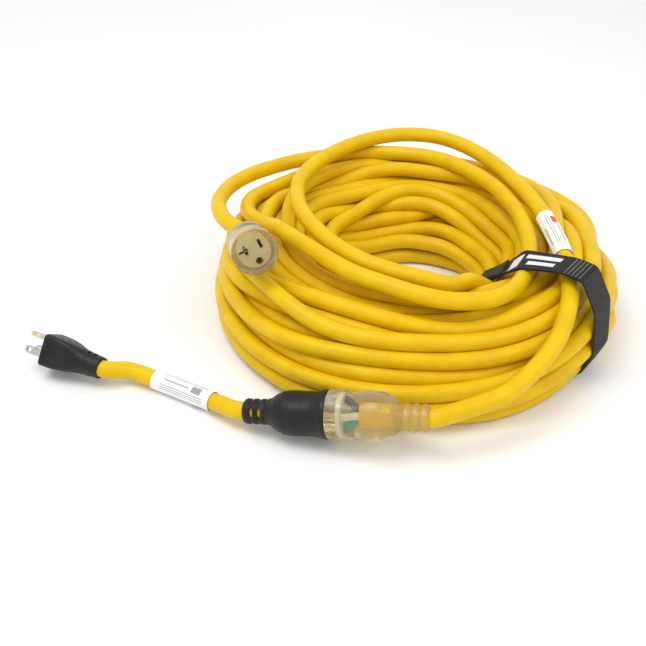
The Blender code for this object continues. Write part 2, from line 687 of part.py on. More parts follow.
def main():
    for obj in list(bpy.data.objects):
        bpy.data.objects.remove(obj)
    parts = bpy.data.collections.new("extension_cord")
    cutters = bpy.data.collections.new("cutters")
    cutters.hide_render = True
    for collection in (parts, cutters):
        bpy.context.scene.collection.children.link(collection)

    use = {
        "parts": parts,
        "cutters": cutters,
        "yellow_pvc": material("yellow_pvc", (0.82, 0.56, 0.01), 0.38),
        "black_pvc": material("black_pvc", (0.03, 0.028, 0.028), 0.5),
        "clear_pvc": material("clear_pvc", (0.80, 0.76, 0.64), 0.25, alpha=0.45),
        "carrier": material("carrier_resin", (0.72, 0.66, 0.50), 0.4),
        "nylon": material("white_nylon", (0.86, 0.85, 0.80), 0.45),
        "brass": material("brass", (0.78, 0.62, 0.32), 0.3, 1.0),
        "steel": material("nickel_plated_brass", (0.72, 0.71, 0.68), 0.28, 1.0),
        "black": material("wire_black", (0.03, 0.03, 0.03), 0.45),
        "white": material("wire_white", (0.85, 0.84, 0.80), 0.45),
        "green": material("wire_green", (0.03, 0.42, 0.33), 0.45),
        "webbing": material("strap_webbing", (0.035, 0.033, 0.033), 0.85),
        "paper": material("label_paper", (0.90, 0.90, 0.88), 0.6),
    }
    coil_frame = empty("coil_axis", parts, Matrix.Translation(COIL_CENTRE))
    use["frame"] = coil_frame
    coil_and_strap(use)

    pair = facing(PAIR_FACE, direction(PAIR_RISE, PAIR_SWING), 0.0)
    joint_frame = empty("plug_joint", parts, pair, coil_frame)
    use["frame"] = joint_frame
    main_plug(use)
    adapter_connector(use)

    turn = facing(CONNECTOR_FACE, direction(CONNECTOR_RISE, CONNECTOR_HEADING), CONNECTOR_ROLL)
    use["frame"] = empty("connector_frame", parts, turn, coil_frame)
    free_connector(use)

    end = facing(ADAPTER_FACE, direction(ADAPTER_RISE, ADAPTER_HEADING), ADAPTER_ROLL)
    use["frame"] = empty("adapter_plug_frame", parts, end, coil_frame)
    adapter_plug(use)

    use["frame"] = coil_frame
    free_cords(pair, turn, end, use)


main()
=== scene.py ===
"""Looks of the coiled extension cord with its adapter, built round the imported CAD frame."""

from math import acos, atan2, ceil, cos, floor, hypot, pi, radians, sin, tan

import bmesh
import bpy
import numpy as np
from mathutils import Matrix, Vector


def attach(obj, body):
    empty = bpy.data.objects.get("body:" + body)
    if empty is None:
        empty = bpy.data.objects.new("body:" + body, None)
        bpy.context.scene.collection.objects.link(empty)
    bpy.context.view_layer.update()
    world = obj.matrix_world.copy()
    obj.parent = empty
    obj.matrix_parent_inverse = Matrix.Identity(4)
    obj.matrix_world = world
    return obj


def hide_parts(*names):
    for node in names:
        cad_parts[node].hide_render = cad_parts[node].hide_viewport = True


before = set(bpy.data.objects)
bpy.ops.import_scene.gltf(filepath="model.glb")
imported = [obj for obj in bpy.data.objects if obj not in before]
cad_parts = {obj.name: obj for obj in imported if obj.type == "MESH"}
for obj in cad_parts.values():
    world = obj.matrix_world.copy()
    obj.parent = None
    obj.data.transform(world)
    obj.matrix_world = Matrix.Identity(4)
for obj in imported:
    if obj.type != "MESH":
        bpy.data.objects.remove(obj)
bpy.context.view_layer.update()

# ---- driving dimensions (metres)
COIL_CENTRE = Vector((0.0758, 0.0201, 0.0))
CORD_D = 0.0137
CORD_R = CORD_D / 2
MOUTH = 0.0015  # a moulding's tail to the point where its cord comes free

STRAP_AZIMUTH = radians(-38)
STRAP_WIDTH = 0.027
STRAP_THICK = 0.0016
STRAP_CORNERS = 8  # lines across the strap, less one
STRAP_RAYS = 240  # points round the strap
STRAP_MIDDLE = (0.112, 0.04)  # radius and height that the strap goes round
# Radius and height that the strap stands out to where it is sewn double, and so stiff.
STRAP_SHOULDERS = [(0.135, 0.0872), (0.153, 0.0868), (0.167, 0.064)]
STRAP_PRINT_START = 0.038  # distances along the strap, from halfway up its inner side
STRAP_SEAM = 0.0905
STRAP_LOOPS_START = STRAP_SEAM + 0.014
STITCH_PITCH = 0.003  # between rows
STITCH_HALVES = (0.00085, 0.00026, 0.00022)

PLUG_TAIL = 0.073
CONNECTOR_TAIL = 0.066
ADAPTER_CONNECTOR_TAIL = 0.064
ADAPTER_PLUG_TAIL = 0.05
JACKET_IN_CONNECTOR = 0.0363
JACKET_IN_PLUG = 0.0243
JACKET_IN_ADAPTER = 0.0258
JACKET_STUB = 0.0485  # depth in the plug where the stub of jacket ends and the cord begins

PAIR_FACE = (-0.0762, -0.1815, 0.0243)
PAIR_RISE = radians(8.5)
PAIR_SWING = radians(-13)
CONNECTOR_FACE = (-0.1319, -0.0855, 0.1015)
CONNECTOR_RISE = radians(17)
CONNECTOR_HEADING = radians(-77)
CONNECTOR_ROLL = radians(22)
ADAPTER_FACE = (-0.2985, -0.097, 0.018)
ADAPTER_HEADING = radians(155)
ADAPTER_RISE = radians(3)
ADAPTER_ROLL = radians(-144)

PLUG_LEAD_ROUTE = [
    (0.008, -0.195, 0.037), (0.027, -0.1895, 0.0395), (0.049, -0.18, 0.0425),
    (0.072, -0.16, 0.048), (0.091, -0.138, 0.0565), (0.102, -0.117, 0.0665),
    (0.1085, -0.092, 0.075), (0.111, -0.056, 0.0795), (0.109, -0.017, 0.0812),
    (0.104, 0.02, 0.083), (0.094, 0.057, 0.0845), (0.078, 0.099, 0.0855),
    (0.057, 0.132, 0.0865), (0.031, 0.152, 0.0875), (0.0, 0.1565, 0.0882),
    (-0.03, 0.147, 0.0888), (-0.06, 0.125, 0.089), (-0.085, 0.095, 0.0888),
    (-0.1, 0.064, 0.088), (-0.103, 0.035, 0.0872), (-0.0985, 0.0055, 0.0866),
    (-0.086, -0.024, 0.086),
]
CONNECTOR_LEAD_ROUTE = [
    (-0.164, 0.003, 0.08), (-0.172, 0.033, 0.0785), (-0.167, 0.063, 0.0775),
    (-0.152, 0.089, 0.0765), (-0.131, 0.109, 0.0755), (-0.105, 0.126, 0.0748),
    (-0.074, 0.138, 0.0744), (-0.045, 0.143, 0.0746), (-0.014, 0.1405, 0.076),
    (0.024, 0.127, 0.078), (0.051, 0.102, 0.079),
]
ADAPTER_ROUTE = [
    (-0.233, -0.115, 0.011), (-0.211, -0.1235, 0.0088), (-0.185, -0.1375, 0.0083),
    (-0.16, -0.153, 0.01),
]

# Where the two leads go on top of the pile before they join its even turns.
RIM_ROUTE = [
    (-0.069, -0.05, 0.0848), (-0.048, -0.07, 0.0835), (-0.026, -0.082, 0.082),
    (-0.006, -0.089, 0.0805), (0.013, -0.0935, 0.079), (0.031, -0.0945, 0.0755),
    (0.047, -0.0905, 0.073),
]
CROSSING_ROUTE = [
    (0.075, 0.064, 0.0785), (0.088, 0.021, 0.0765), (0.09, -0.02, 0.0745),
    (0.083, -0.059, 0.072), (0.067, -0.091, 0.0735), (0.049, -0.109, 0.076),
    (0.03, -0.1165, 0.078), (0.009, -0.1155, 0.0785), (-0.012, -0.1085, 0.0795),
    (-0.035, -0.0965, 0.0805), (-0.058, -0.0825, 0.0815), (-0.079, -0.062, 0.0825),
    (-0.099, -0.037, 0.082), (-0.12, -0.008, 0.0795), (-0.14, 0.022, 0.0745),
    (-0.156, 0.048, 0.068), (-0.163, 0.072, 0.062),
]

# ---- the coil's winding
SECTIONS = 72  # points in each turn, one at each section through the coil
TURN_ANGLE = 2 * pi / SECTIONS
TURNS = 39  # turns between the section numbers of the two leads
# Radius and height along the even winding, by the turns made in it: down the funnel, then layer
# on layer, out and in.
WINDING = [
    (0.0, 0.102, 0.0725), (0.28, 0.094, 0.063), (0.55, 0.085, 0.045), (0.85, 0.074, 0.022),
    (1.2, 0.069, 0.008),
    (8.3, 0.164, 0.0069), (8.9, 0.168, 0.019), (16.3, 0.068, 0.019),
    (16.9, 0.071, 0.031), (24.2, 0.168, 0.031), (24.8, 0.166, 0.043),
    (30.9, 0.082, 0.043), (31.5, 0.088, 0.055), (36.4, 0.152, 0.055), (37.0, 0.144, 0.067),
    (38.5, 0.118, 0.067), (39.4, 0.145, 0.069),
]
LAYER_WANDER = 0.003  # how far a strand strays from its even place, low and high in the pile
SURFACE_WANDER = 0.009
# Section of the pile, free and under the strap: radius and height, anticlockwise from the inner foot.
PILE_SECTION = [
    (0.058, 0.0), (0.17, 0.0), (0.1775, 0.014), (0.164, 0.064),
    (0.132, 0.077), (0.095, 0.077), (0.054, 0.026),
]
STRAPPED_SECTION = [
    (0.059, 0.0), (0.162, 0.0), (0.1725, 0.026), (0.167, 0.06),
    (0.15, 0.08), (0.1, 0.069), (0.053, 0.026),
]
STRAP_REACH = radians(24)  # how far from the strap its squeeze is felt
FRONT_SHIFT = 0.02  # how far the pile's upper rim is nearer the axis in front
SHOULDER_SHIFT = 0.007  # the same for its outer shoulder
HUMP = 0.003  # how much higher the pile is under the free connector
HUMP_AZIMUTH = radians(-140)
STRAP_LIFT = 0.0021  # how high the strap under the bundle lifts the lowest strands
STRAP_LIFT_REACH = radians(17)
SETTLED = 0.972  # how far neighbouring strands are apart, in diameters
SETTLE_ROUNDS = 700
PULL = 0.008  # share of the way back to its even radius, in a round
PUSH = 0.42  # share of an overlap that is pushed away, in a round
SINK = 0.00016  # how far a strand sinks, in the first round
STIFFNESS = 0.035
WALL_PUSH = 0.35


def direction(rise, heading):
    return Vector((cos(rise) * cos(heading), cos(rise) * sin(heading), sin(rise)))


def facing(place, forward, roll):
    """Placement with local +Z along forward and local +Y up, turned by roll about forward."""
    forward = forward.normalized()
    side = Vector((0, 0, 1)).cross(forward).normalized()
    up = forward.cross(side)
    turned_side = side * cos(roll) + up * sin(roll)
    turned_up = up * cos(roll) - side * sin(roll)
    turn = Matrix((turned_side, turned_up, forward)).transposed()
    return Matrix.Translation(Vector(place) + COIL_CENTRE) @ turn.to_4x4()


PAIR = facing(PAIR_FACE, direction(PAIR_RISE, PAIR_SWING), 0.0)
CONNECTOR = facing(CONNECTOR_FACE, direction(CONNECTOR_RISE, CONNECTOR_HEADING), CONNECTOR_ROLL)
ADAPTER = facing(ADAPTER_FACE, direction(ADAPTER_RISE, ADAPTER_HEADING), ADAPTER_ROLL)


def at_depth(matrix, depth):
    return matrix @ Vector((0, 0, depth)) - COIL_CENTRE


def axis_of(matrix):
    return matrix.to_3x3() @ Vector((0, 0, 1))


def smooth_route(points, leave=None, arrive=None, dense=16):
    """Points close together on a smooth curve through the given ones, with its end directions if given."""
    points = [Vector(point) for point in points]
    leave = leave or (points[1] - points[0]).normalized()
    arrive = arrive or (points[-1] - points[-2]).normalized()
    before_start = points[1] - 2 * (points[1] - points[0]).length * leave
    after_end = points[-2] + 2 * (points[-1] - points[-2]).length * arrive
    padded = [before_start, *points, after_end]
    route = []
    for before, start, end, after in zip(padded, padded[1:], padded[2:], padded[3:]):
        for step in range(dense):
            t = step / dense
            bend = 2 * start + (end - before) * t
            bend += (2 * before - 5 * start + 4 * end - after) * t**2
            bend += (3 * start - before - 3 * end + after) * t**3
            route.append(bend / 2)
    route.append(points[-1])
    return route


def by_section(route):
    """Section numbers, radii and heights where a route round the coil crosses its sections."""
    points = np.array([tuple(p) for p in route])
    angles = np.unwrap(np.arctan2(points[:, 1], points[:, 0])) / TURN_ANGLE
    numbers = np.arange(ceil(angles[0]), floor(angles[-1]) + 1)
    radii = np.interp(numbers, angles, np.hypot(points[:, 0], points[:, 1]))
    return numbers, radii, np.interp(numbers, angles, points[:, 2])


def smoothed(values, spread):
    """Values blurred along the cord."""
    reach = int(3 * spread)
    weights = np.exp(-0.5 * (np.arange(-reach, reach + 1) / spread) ** 2)
    padded = np.pad(values, ((reach, reach), (0, 0)), mode="edge")
    columns = [np.convolve(padded[:, i], weights / weights.sum(), "valid") for i in range(values.shape[1])]
    return np.stack(columns, axis=1)


def wander(numbers, waves, seed):
    """Slow random drift along the cord, between about -1 and 1: waves per turn up to the given."""
    random = np.random.default_rng(seed)
    turns = numbers / SECTIONS
    total = np.zeros(len(numbers))
    for _ in range(10):
        total += np.sin(2 * pi * (random.uniform(0.15, waves) * turns + random.uniform()))
    return total / 3.2


def obstacles():
    """Circles (radius from the axis, height, own radius) of the moulded ends at each section."""
    rows = []
    for matrix, near, far, size in (
        (CONNECTOR, 0.0, -0.04, 0.0185), (CONNECTOR, -0.04, -CONNECTOR_TAIL, 0.0102),
        (PAIR, -0.036, 0.046, 0.0185), (PAIR, 0.046, PLUG_TAIL, 0.0102),
    ):
        row = np.full((SECTIONS, 3), [7.0 + len(rows), 3.0, 0.001])
        for share in np.linspace(0, 1, 60):
            spot = at_depth(matrix, near + (far - near) * share)
            section = round(atan2(spot.y, spot.x) / TURN_ANGLE) % SECTIONS
            row[section] = (hypot(spot.x, spot.y), spot.z, size)
        rows.append(row)
    return np.stack(rows)


def from_strap(azimuths):
    return np.abs((azimuths - STRAP_AZIMUTH + pi) % (2 * pi) - pi)


def pile_walls(azimuths):
    """Outward normals and limits of the walls that hold the pile, at each azimuth."""
    squeeze = np.exp(-((from_strap(azimuths) / STRAP_REACH) ** 2))[:, None, None]
    corners = np.array(PILE_SECTION) * (1 - squeeze) + np.array(STRAPPED_SECTION) * squeeze
    front = -np.sin(azimuths)
    corners[:, 5, 0] -= FRONT_SHIFT * front * (1 - squeeze[:, 0, 0])
    corners[:, 3, 0] -= SHOULDER_SHIFT * np.clip(front, 0, 1) * (1 - squeeze[:, 0, 0])
    corners[:, 4:6, 1] += HUMP * np.clip(np.cos(azimuths - HUMP_AZIMUTH), 0, 1)[:, None]
    edges = np.roll(corners, -1, axis=1) - corners
    outward = np.stack([edges[..., 1], -edges[..., 0]], axis=-1)
    outward /= np.linalg.norm(edges, axis=-1)[..., None]
    limits = (outward * corners).sum(-1) - CORD_R
    return outward.transpose(1, 0, 2), limits.T


def packed(place, mobile, held, numbers):
    """Lets the strands settle on each other, in the plane of each section."""
    first = numbers[0]
    outward, limits = pile_walls(numbers * TURN_ANGLE)
    rows = (numbers - first) // SECTIONS
    columns = (numbers - first) % SECTIONS
    fixed = np.roll(obstacles(), -(first % SECTIONS), axis=1)
    strands = rows[-1] + 1
    count = strands + len(fixed)
    grid_mobile = np.zeros((count, SECTIONS))
    grid_mobile[rows, columns] = mobile
    size = np.full((count, SECTIONS), CORD_R * SETTLED)
    size[strands:] = fixed[:, :, 2]
    reach = size[:, None] + size[None]
    reach[np.arange(count), np.arange(count)] = 0
    share = grid_mobile[:, None] / (grid_mobile[:, None] + grid_mobile[None] + 1e-9)
    target = place.copy()
    under_strap = from_strap(numbers % SECTIONS * TURN_ANGLE) < STRAP_LIFT_REACH
    ground = np.where(under_strap, CORD_R + STRAP_LIFT, CORD_R)
    for k in range(SETTLE_ROUNDS):
        grid = np.full((count, SECTIONS, 2), 20.0) + np.arange(count)[:, None, None]
        grid[rows, columns] = place
        grid[strands:] = fixed[:, :, :2]
        apart = grid[:, None] - grid[None]
        distance = np.sqrt((apart**2).sum(-1)) + 1e-9
        overlap = np.clip(reach - distance, 0, None)
        push = (apart * (overlap * share / distance)[..., None]).sum(1)[rows, columns]
        late = k / SETTLE_ROUNDS
        move = PUSH * push
        move[:, 1] -= SINK * (1 - late) ** 1.5
        move[:, 0] += PULL * (1 - late) * (target[:, 0] - place[:, 0])
        bent = np.pad(place, ((2, 2), (0, 0)), mode="edge")
        bend = bent[:-4] - 4 * bent[1:-3] + 6 * bent[2:-2] - 4 * bent[3:-1] + bent[4:]
        move = smoothed(move, 2.5) - STIFFNESS * bend
        place = place + move * np.minimum(1, mobile)[:, None]
        free = mobile > 0
        for way, limit in zip(outward, limits):
            beyond = np.clip((place * way).sum(1) - limit, 0, None) * held
            place -= WALL_PUSH * beyond[:, None] * way
        place[free, 1] = np.maximum(place[free, 1], ground[free])
    return place


def dropped(place, numbers, start):
    """Lays the strands from number start on, one point after the other, on those before them."""
    section = numbers % SECTIONS
    for i in range(start, len(numbers)):
        below = place[:i][section[:i] == section[i]]
        if not len(below):
            continue
        apart = np.abs(below[:, 0] - place[i, 0])
        near = apart < CORD_D * 0.97
        if near.any():
            tops = below[near, 1] + np.sqrt(CORD_D**2 - apart[near] ** 2)
            place[i, 1] = max(CORD_R, tops.max() - 0.001)
    return place


def winding():
    """The whole cord from mouth to mouth, as points from the coil's axis."""
    mouth = at_depth(PAIR, PLUG_TAIL + MOUTH)
    plug_end = smooth_route([mouth, *PLUG_LEAD_ROUTE, *RIM_ROUTE], axis_of(PAIR))
    mouth = at_depth(CONNECTOR, -CONNECTOR_TAIL - MOUTH)
    connector_end = smooth_route([mouth, *CONNECTOR_LEAD_ROUTE, *CROSSING_ROUTE], -axis_of(CONNECTOR))
    connector_end.reverse()
    a, a_r, a_z = by_section(plug_end)
    b, b_r, b_z = by_section(connector_end)
    b = b + TURNS * SECTIONS
    free = np.arange(a[-1] + 1, b[0])
    made = (free - a[-1]) / SECTIONS
    knots = np.array(WINDING)
    knots[:, 0] *= np.where(knots[:, 0] > 1.3, made[-1] / knots[-1, 0], 1)
    radius = np.interp(made, knots[:, 0], knots[:, 1])
    height = np.interp(made, knots[:, 0], knots[:, 2])
    rise = np.clip(height / 0.055, 0, 1)
    radius += (LAYER_WANDER + (SURFACE_WANDER - LAYER_WANDER) * rise**2) * wander(free, 0.9, 5)
    azimuth = free * TURN_ANGLE
    radius += 0.01 * rise * np.clip(np.cos(azimuth - radians(160)), 0, 1) ** 2
    radius += 0.02 * rise**2 * np.sin(azimuth)
    late = np.clip((made - (made[-1] - 0.35)) / 0.35, 0, 1)
    radius = radius * (1 - late) + b_r[0] * late
    height = height * (1 - late) + b_z[0] * late
    first_drop = int((made > knots[-5, 0]).argmax())
    laid = np.stack([radius, height], axis=1)
    laid = smoothed(dropped(laid, free, first_drop), 4)
    numbers = np.concatenate([a, free, b])
    place = np.concatenate([np.stack([a_r, a_z], axis=1), laid, np.stack([b_r, b_z], axis=1)])
    count = len(numbers)
    into = np.minimum(np.arange(count) - len(a), len(a) + len(free) - 1 - np.arange(count))
    mobile = np.clip((into + 6) / 12, 0, 1)
    held = np.clip(into / 30, 0, 1)
    place = packed(place, mobile, held, numbers)
    angles = numbers * TURN_ANGLE
    return np.stack([place[:, 0] * np.cos(angles), place[:, 0] * np.sin(angles), place[:, 1]], axis=1)


# ---- moulded ends and contacts (metres)
CARRIER_DEPTH = 0.024  # insulator that holds a connector's contacts
CARRIER_FRONT = 0.0016  # clear plastic in front of it
CARRIER_R = 0.0125
BLADE_WIDTH = 0.00635
BLADE_THICK = 0.0015
BLADE_LENGTH = 0.0175
PIN_R = 0.0024
PIN_LENGTH = 0.0206
BLADE_HALF_PITCH = 0.00635
BLADE_Y = 0.0042
PIN_Y = -0.0077
POLES = ("hot", "neutral", "ground")
RINGS = 3  # raised rings on a round end's strain relief
BORE_R = CORD_R + 0.0003  # bore that a cord passes through
TURNED_BLADE_X = -0.0074
BLADE_HOLE_R = 0.0018
WIRE_R = 0.0021
WIRE_PITCH_R = 0.0028
BRIDGE_FRONT = 0.0073  # front and back of a plug's bridge, behind its face
BRIDGE_BACK = 0.011
ADAPTER_BRIDGE_BACK = 0.01

# Outer outlines along a moulding's axis, from its face: distance, radius, fillet.
FREE_CONNECTOR_OUTLINE = [
    (0.0, 0.017, 0.0), (0.0, 0.018, 0.001), (-0.003, 0.0182, 0.004), (-0.011, 0.0179, 0.01),
    (-0.015, 0.0171, 0.006), (-0.019, 0.0176, 0.008), (-0.027, 0.0181, 0.012), (-0.0335, 0.0171, 0.012),
    (-0.0385, 0.014, 0.006), (-0.043, 0.01, 0.004), (-0.045, 0.0096, 0.001),
]
PLUG_OUTLINE = [
    (0.0004, 0.0172, 0.0), (0.0004, 0.018, 0.0008), (0.004, 0.0182, 0.003), (0.01, 0.018, 0.008),
    (0.018, 0.0172, 0.01), (0.024, 0.0176, 0.008), (0.031, 0.0182, 0.012), (0.04, 0.0178, 0.016),
    (0.047, 0.0142, 0.008), (0.0515, 0.0104, 0.004), (0.0535, 0.0098, 0.001),
]
ADAPTER_CONNECTOR_OUTLINE = [
    (0.0, 0.0172, 0.0), (0.0, 0.0181, 0.0006), (-0.0024, 0.0181, 0.0012), (-0.006, 0.017, 0.004),
    (-0.011, 0.0162, 0.008), (-0.017, 0.0166, 0.01), (-0.025, 0.0169, 0.016), (-0.033, 0.016, 0.014),
    (-0.0385, 0.0136, 0.01), (-0.043, 0.0104, 0.006), (-0.046, 0.0095, 0.003),
]
ADAPTER_PLUG_STATIONS = [  # distance, half width, half height, squareness
    (0.0, 0.0116, 0.0122, 8.0), (-0.0005, 0.0122, 0.0128, 8.0), (-0.0012, 0.0124, 0.013, 8.0),
    (-0.01, 0.0123, 0.0129, 7.5), (-0.016, 0.0119, 0.0124, 6.5), (-0.022, 0.0112, 0.0116, 5.0),
    (-0.027, 0.0104, 0.0107, 3.4), (-0.031, 0.0099, 0.0101, 2.4), (-0.0345, 0.0098, 0.0098, 2.0),
    (-0.042, 0.0092, 0.0092, 2.0), (-0.048, 0.0088, 0.0088, 2.0), (-0.0495, 0.0086, 0.0086, 2.0),
    (-0.05, 0.008, 0.008, 2.0),
]
CORD_LABEL_SPAN = (0.208, 0.266)  # distances from the plug's mouth
ADAPTER_LABEL_SPAN = (0.0435, 0.0985)  # distances from the adapter plug's mouth
WINDOW_TURN = radians(-30)  # how far the black strain relief's windows look up
LABEL_LIFT = 0.0005
LABEL_THICK = 0.0003

# ---- colours
YELLOW_LOW, YELLOW_HIGH = (0.7, 0.44, 0.0003), (0.76, 0.5, 0.0006)
BLACK_LOW, BLACK_HIGH = (0.009, 0.008, 0.008), (0.015, 0.013, 0.013)
MILKY_LOW, MILKY_HIGH = (0.92, 0.83, 0.56), (0.97, 0.9, 0.68)


# ---- materials
MIX_FIRST, MIX_SECOND, MIX_RESULT = 6, 7, 2  # a Mix node's sockets for colours


def finish(name, roughness, **settings):
    """A material with constant values for the shader's sockets, which are named by settings."""
    found = bpy.data.materials.new(name)
    found.use_nodes = True
    shader = found.node_tree.nodes["Principled BSDF"]
    shader.inputs["Roughness"].default_value = roughness
    for socket, value in settings.items():
        shader.inputs[socket.replace("_", " ").title().replace("Ior", "IOR")].default_value = value
    return found


def wired(found, output, socket):
    """Leads a node's output to a socket of the material's shader."""
    found.node_tree.links.new(output, found.node_tree.nodes["Principled BSDF"].inputs[socket])


def node(found, kind, inputs, **settings):
    """A new node, each of its inputs a constant or led from another node's output."""
    made = found.node_tree.nodes.new("ShaderNode" + kind)
    for name, value in settings.items():
        setattr(made, name, value)
    for socket, value in inputs.items():
        if isinstance(value, bpy.types.NodeSocket):
            found.node_tree.links.new(value, made.inputs[socket])
        else:
            made.inputs[socket].default_value = value
    return made


def noise(found, scale, detail=3.0, stretch=(1, 1, 1)):
    """Output of a noise texture in the shared frame's space."""
    place = node(found, "TexCoord", {}).outputs["Object"]
    stretched = node(found, "Mapping", {"Vector": place, "Scale": stretch}).outputs["Vector"]
    return node(found, "TexNoise", {"Vector": stretched, "Scale": scale, "Detail": detail}).outputs["Fac"]


def ramp(found, source, stops):
    """Colours along the source value: (position, colour) stops."""
    made = node(found, "ValToRGB", {"Fac": source})
    for element, (position, colour) in zip(made.color_ramp.elements, stops):
        element.position = position
        element.color = (*colour, 1.0)
    return made.outputs["Color"]


def mottled(found, low, high, scale):
    """Base colour that drifts between two tints."""
    wired(found, ramp(found, noise(found, scale), [(0.35, low), (0.65, high)]), "Base Color")


def uneven(found, low, high, scale):
    """Roughness that drifts between two values."""
    limits = {"From Min": 0.3, "From Max": 0.7, "To Min": low, "To Max": high}
    spread = node(found, "MapRange", {"Value": noise(found, scale), **limits})
    wired(found, spread.outputs["Result"], "Roughness")


def bumped(found, height, depth):
    """Relief from a height output, its depth in metres."""
    bump = node(found, "Bump", {"Height": height, "Distance": depth})
    wired(found, bump.outputs["Normal"], "Normal")
    return found


def moulded(name, low, high, roughness, grain, **settings):
    """Plastic with a slight tint drift, uneven gloss and a fine grain of the given depth."""
    found = finish(name, roughness, **settings)
    mottled(found, low, high, 60)
    uneven(found, roughness * 0.85, roughness * 1.2, 220)
    return bumped(found, noise(found, 1400, 2.0), grain)


def metal(name, low, high, roughness):
    found = finish(name, roughness, metallic=1.0)
    mottled(found, low, high, 300)
    uneven(found, roughness * 0.8, roughness * 1.4, 500)
    return bumped(found, noise(found, 900, 3.0, (6, 6, 1)), 0.00002)


def along_and_across(found):
    """Outputs of the distance along and across a strip, in metres, from its UV map."""
    place = node(found, "UVMap", {}, uv_map="strip").outputs["UV"]
    split = node(found, "SeparateXYZ", {"Vector": place})
    return split.outputs["X"], split.outputs["Y"]


def maths(found, operation, *values):
    return node(found, "Math", dict(enumerate(values)), operation=operation).outputs["Value"]


def between(found, value, low, high):
    """1 where the value lies between two limits, 0 outside."""
    above = maths(found, "GREATER_THAN", value, low)
    return maths(found, "MULTIPLY", above, maths(found, "LESS_THAN", value, high))


def printed(found, ground, patches, ink):
    """Lays ink on the ground colour in the patches, each (along from, to, across from, to)."""
    along, across = along_and_across(found)
    total = 0.0
    for low, high, near, far in patches:
        in_length, in_width = between(found, along, low, high), between(found, across, near, far)
        total = maths(found, "MAXIMUM", total, maths(found, "MULTIPLY", in_length, in_width))
    colours = {"Factor": total, MIX_FIRST: ground, MIX_SECOND: (*ink, 1.0)}
    return node(found, "Mix", colours, data_type="RGBA").outputs[MIX_RESULT]


def webbing(name, low, high, rib):
    """Woven tape: ribs along and across at the given pitch, with a fuzzy sheen."""
    found = finish(name, 0.88, sheen_weight=0.1, sheen_roughness=0.45, specular_ior_level=0.15)
    along, across = along_and_across(found)
    waves = []
    for value, pitch in ((along, rib), (across, rib * 1.3)):
        waves.append(maths(found, "SINE", maths(found, "MULTIPLY", value, 2 * pi / pitch)))
    weave = maths(found, "ADD", maths(found, "MULTIPLY", waves[0], waves[1]), noise(found, 1500, 3.0))
    bumped(found, weave, 0.00012)
    return found, ramp(found, noise(found, 900, 4.0), [(0.3, low), (0.7, high)])


def strap_material():
    """Black webbing with a plain block and two plain bars on its upper side."""
    found, ground = webbing("strap_webbing_woven", (0.01, 0.009, 0.01), (0.026, 0.024, 0.025), 0.0009)
    start = STRAP_PRINT_START
    patches = [
        (start - 0.0015, start + 0.0105, -0.007, 0.0085), (start + 0.0135, start + 0.043, 0.0025, 0.008),
        (start + 0.018, start + 0.041, -0.007, -0.0015),
    ]
    colour = printed(found, ground, patches, (0.8, 0.8, 0.79))
    wired(found, colour, "Base Color")
    return found


def loop_fabric_material():
    found, ground = webbing("strap_loop_fabric", (0.016, 0.015, 0.015), (0.05, 0.046, 0.044), 0.0006)
    wired(found, ground, "Base Color")
    return found


def label_material(name, length, block):
    """White vinyl with plain grey rules and blocks, and two larger blocks in the given colour."""
    found = finish(name, 0.42)
    paper = ramp(found, noise(found, 120), [(0.3, (0.8, 0.8, 0.79)), (0.7, (0.9, 0.9, 0.89))])
    fine = (0.003, 0.0046, 0.0062, 0.0078, 0.022, 0.0236, 0.0252, 0.0338, 0.0354)
    rules = [(0.16 * length, 0.9 * length, v, v + 0.0006) for v in fine]
    rules += [(0.2 * length, 0.62 * length, v, v + 0.0012) for v in (0.012, 0.029, 0.0395)]
    colour = printed(found, paper, rules, (0.36, 0.36, 0.37))
    blocks = [(0.68 * length, 0.84 * length, v, v + 0.005) for v in (0.0105, 0.0275)]
    colour = printed(found, colour, blocks, block)
    wired(found, colour, "Base Color")
    uneven(found, 0.34, 0.5, 300)
    return bumped(found, noise(found, 700, 3.0), 0.00003)


# ---- building blocks
def linked(name, data):
    obj = bpy.data.objects.new(name, data)
    bpy.context.scene.collection.objects.link(obj)
    return obj


def meshed(name, bm, material, matrix=Matrix(), sharp=32):
    """A piece from a bmesh, smooth but for edges sharper than the given angle."""
    bmesh.ops.recalc_face_normals(bm, faces=bm.faces)
    data = bpy.data.meshes.new(name)
    bm.to_mesh(data)
    bm.free()
    data.shade_smooth()
    data.set_sharp_from_angle(angle=radians(sharp))
    data.materials.append(material)
    obj = linked(name, data)
    obj.matrix_world = matrix
    return obj


def tube(name, points, radius, material, fineness=5):
    data = bpy.data.curves.new(name, "CURVE")
    data.dimensions = "3D"
    data.bevel_depth = radius
    data.bevel_resolution = fineness
    data.use_fill_caps = True
    spline = data.splines.new("POLY")
    spline.points.add(len(points) - 1)
    for point, place in zip(spline.points, points):
        point.co = (*place, 1.0)
    spline.use_smooth = True
    data.materials.append(material)
    return linked(name, data)


def rounded(corners, arc_steps=5):
    """Open outline through corners (a, b, fillet), with every corner between its ends rounded."""
    outline = [Vector(corners[0][:2])]
    for before, here, after in zip(corners, corners[1:], corners[2:]):
        middle = Vector(here[:2])
        back, on = Vector(before[:2]) - middle, Vector(after[:2]) - middle
        half = acos(max(-1, min(1, back.normalized().dot(on.normalized())))) / 2
        if here[2] == 0 or half > radians(89):
            outline.append(middle)
            continue
        reach = min(here[2] / tan(half), 0.48 * back.length, 0.48 * on.length)
        start, end = middle + back.normalized() * reach, middle + on.normalized() * reach
        for step in range(arc_steps + 1):
            t = step / arc_steps
            outline.append(start * (1 - t) ** 2 + middle * 2 * t * (1 - t) + end * t**2)
    outline.append(Vector(corners[-1][:2]))
    return outline


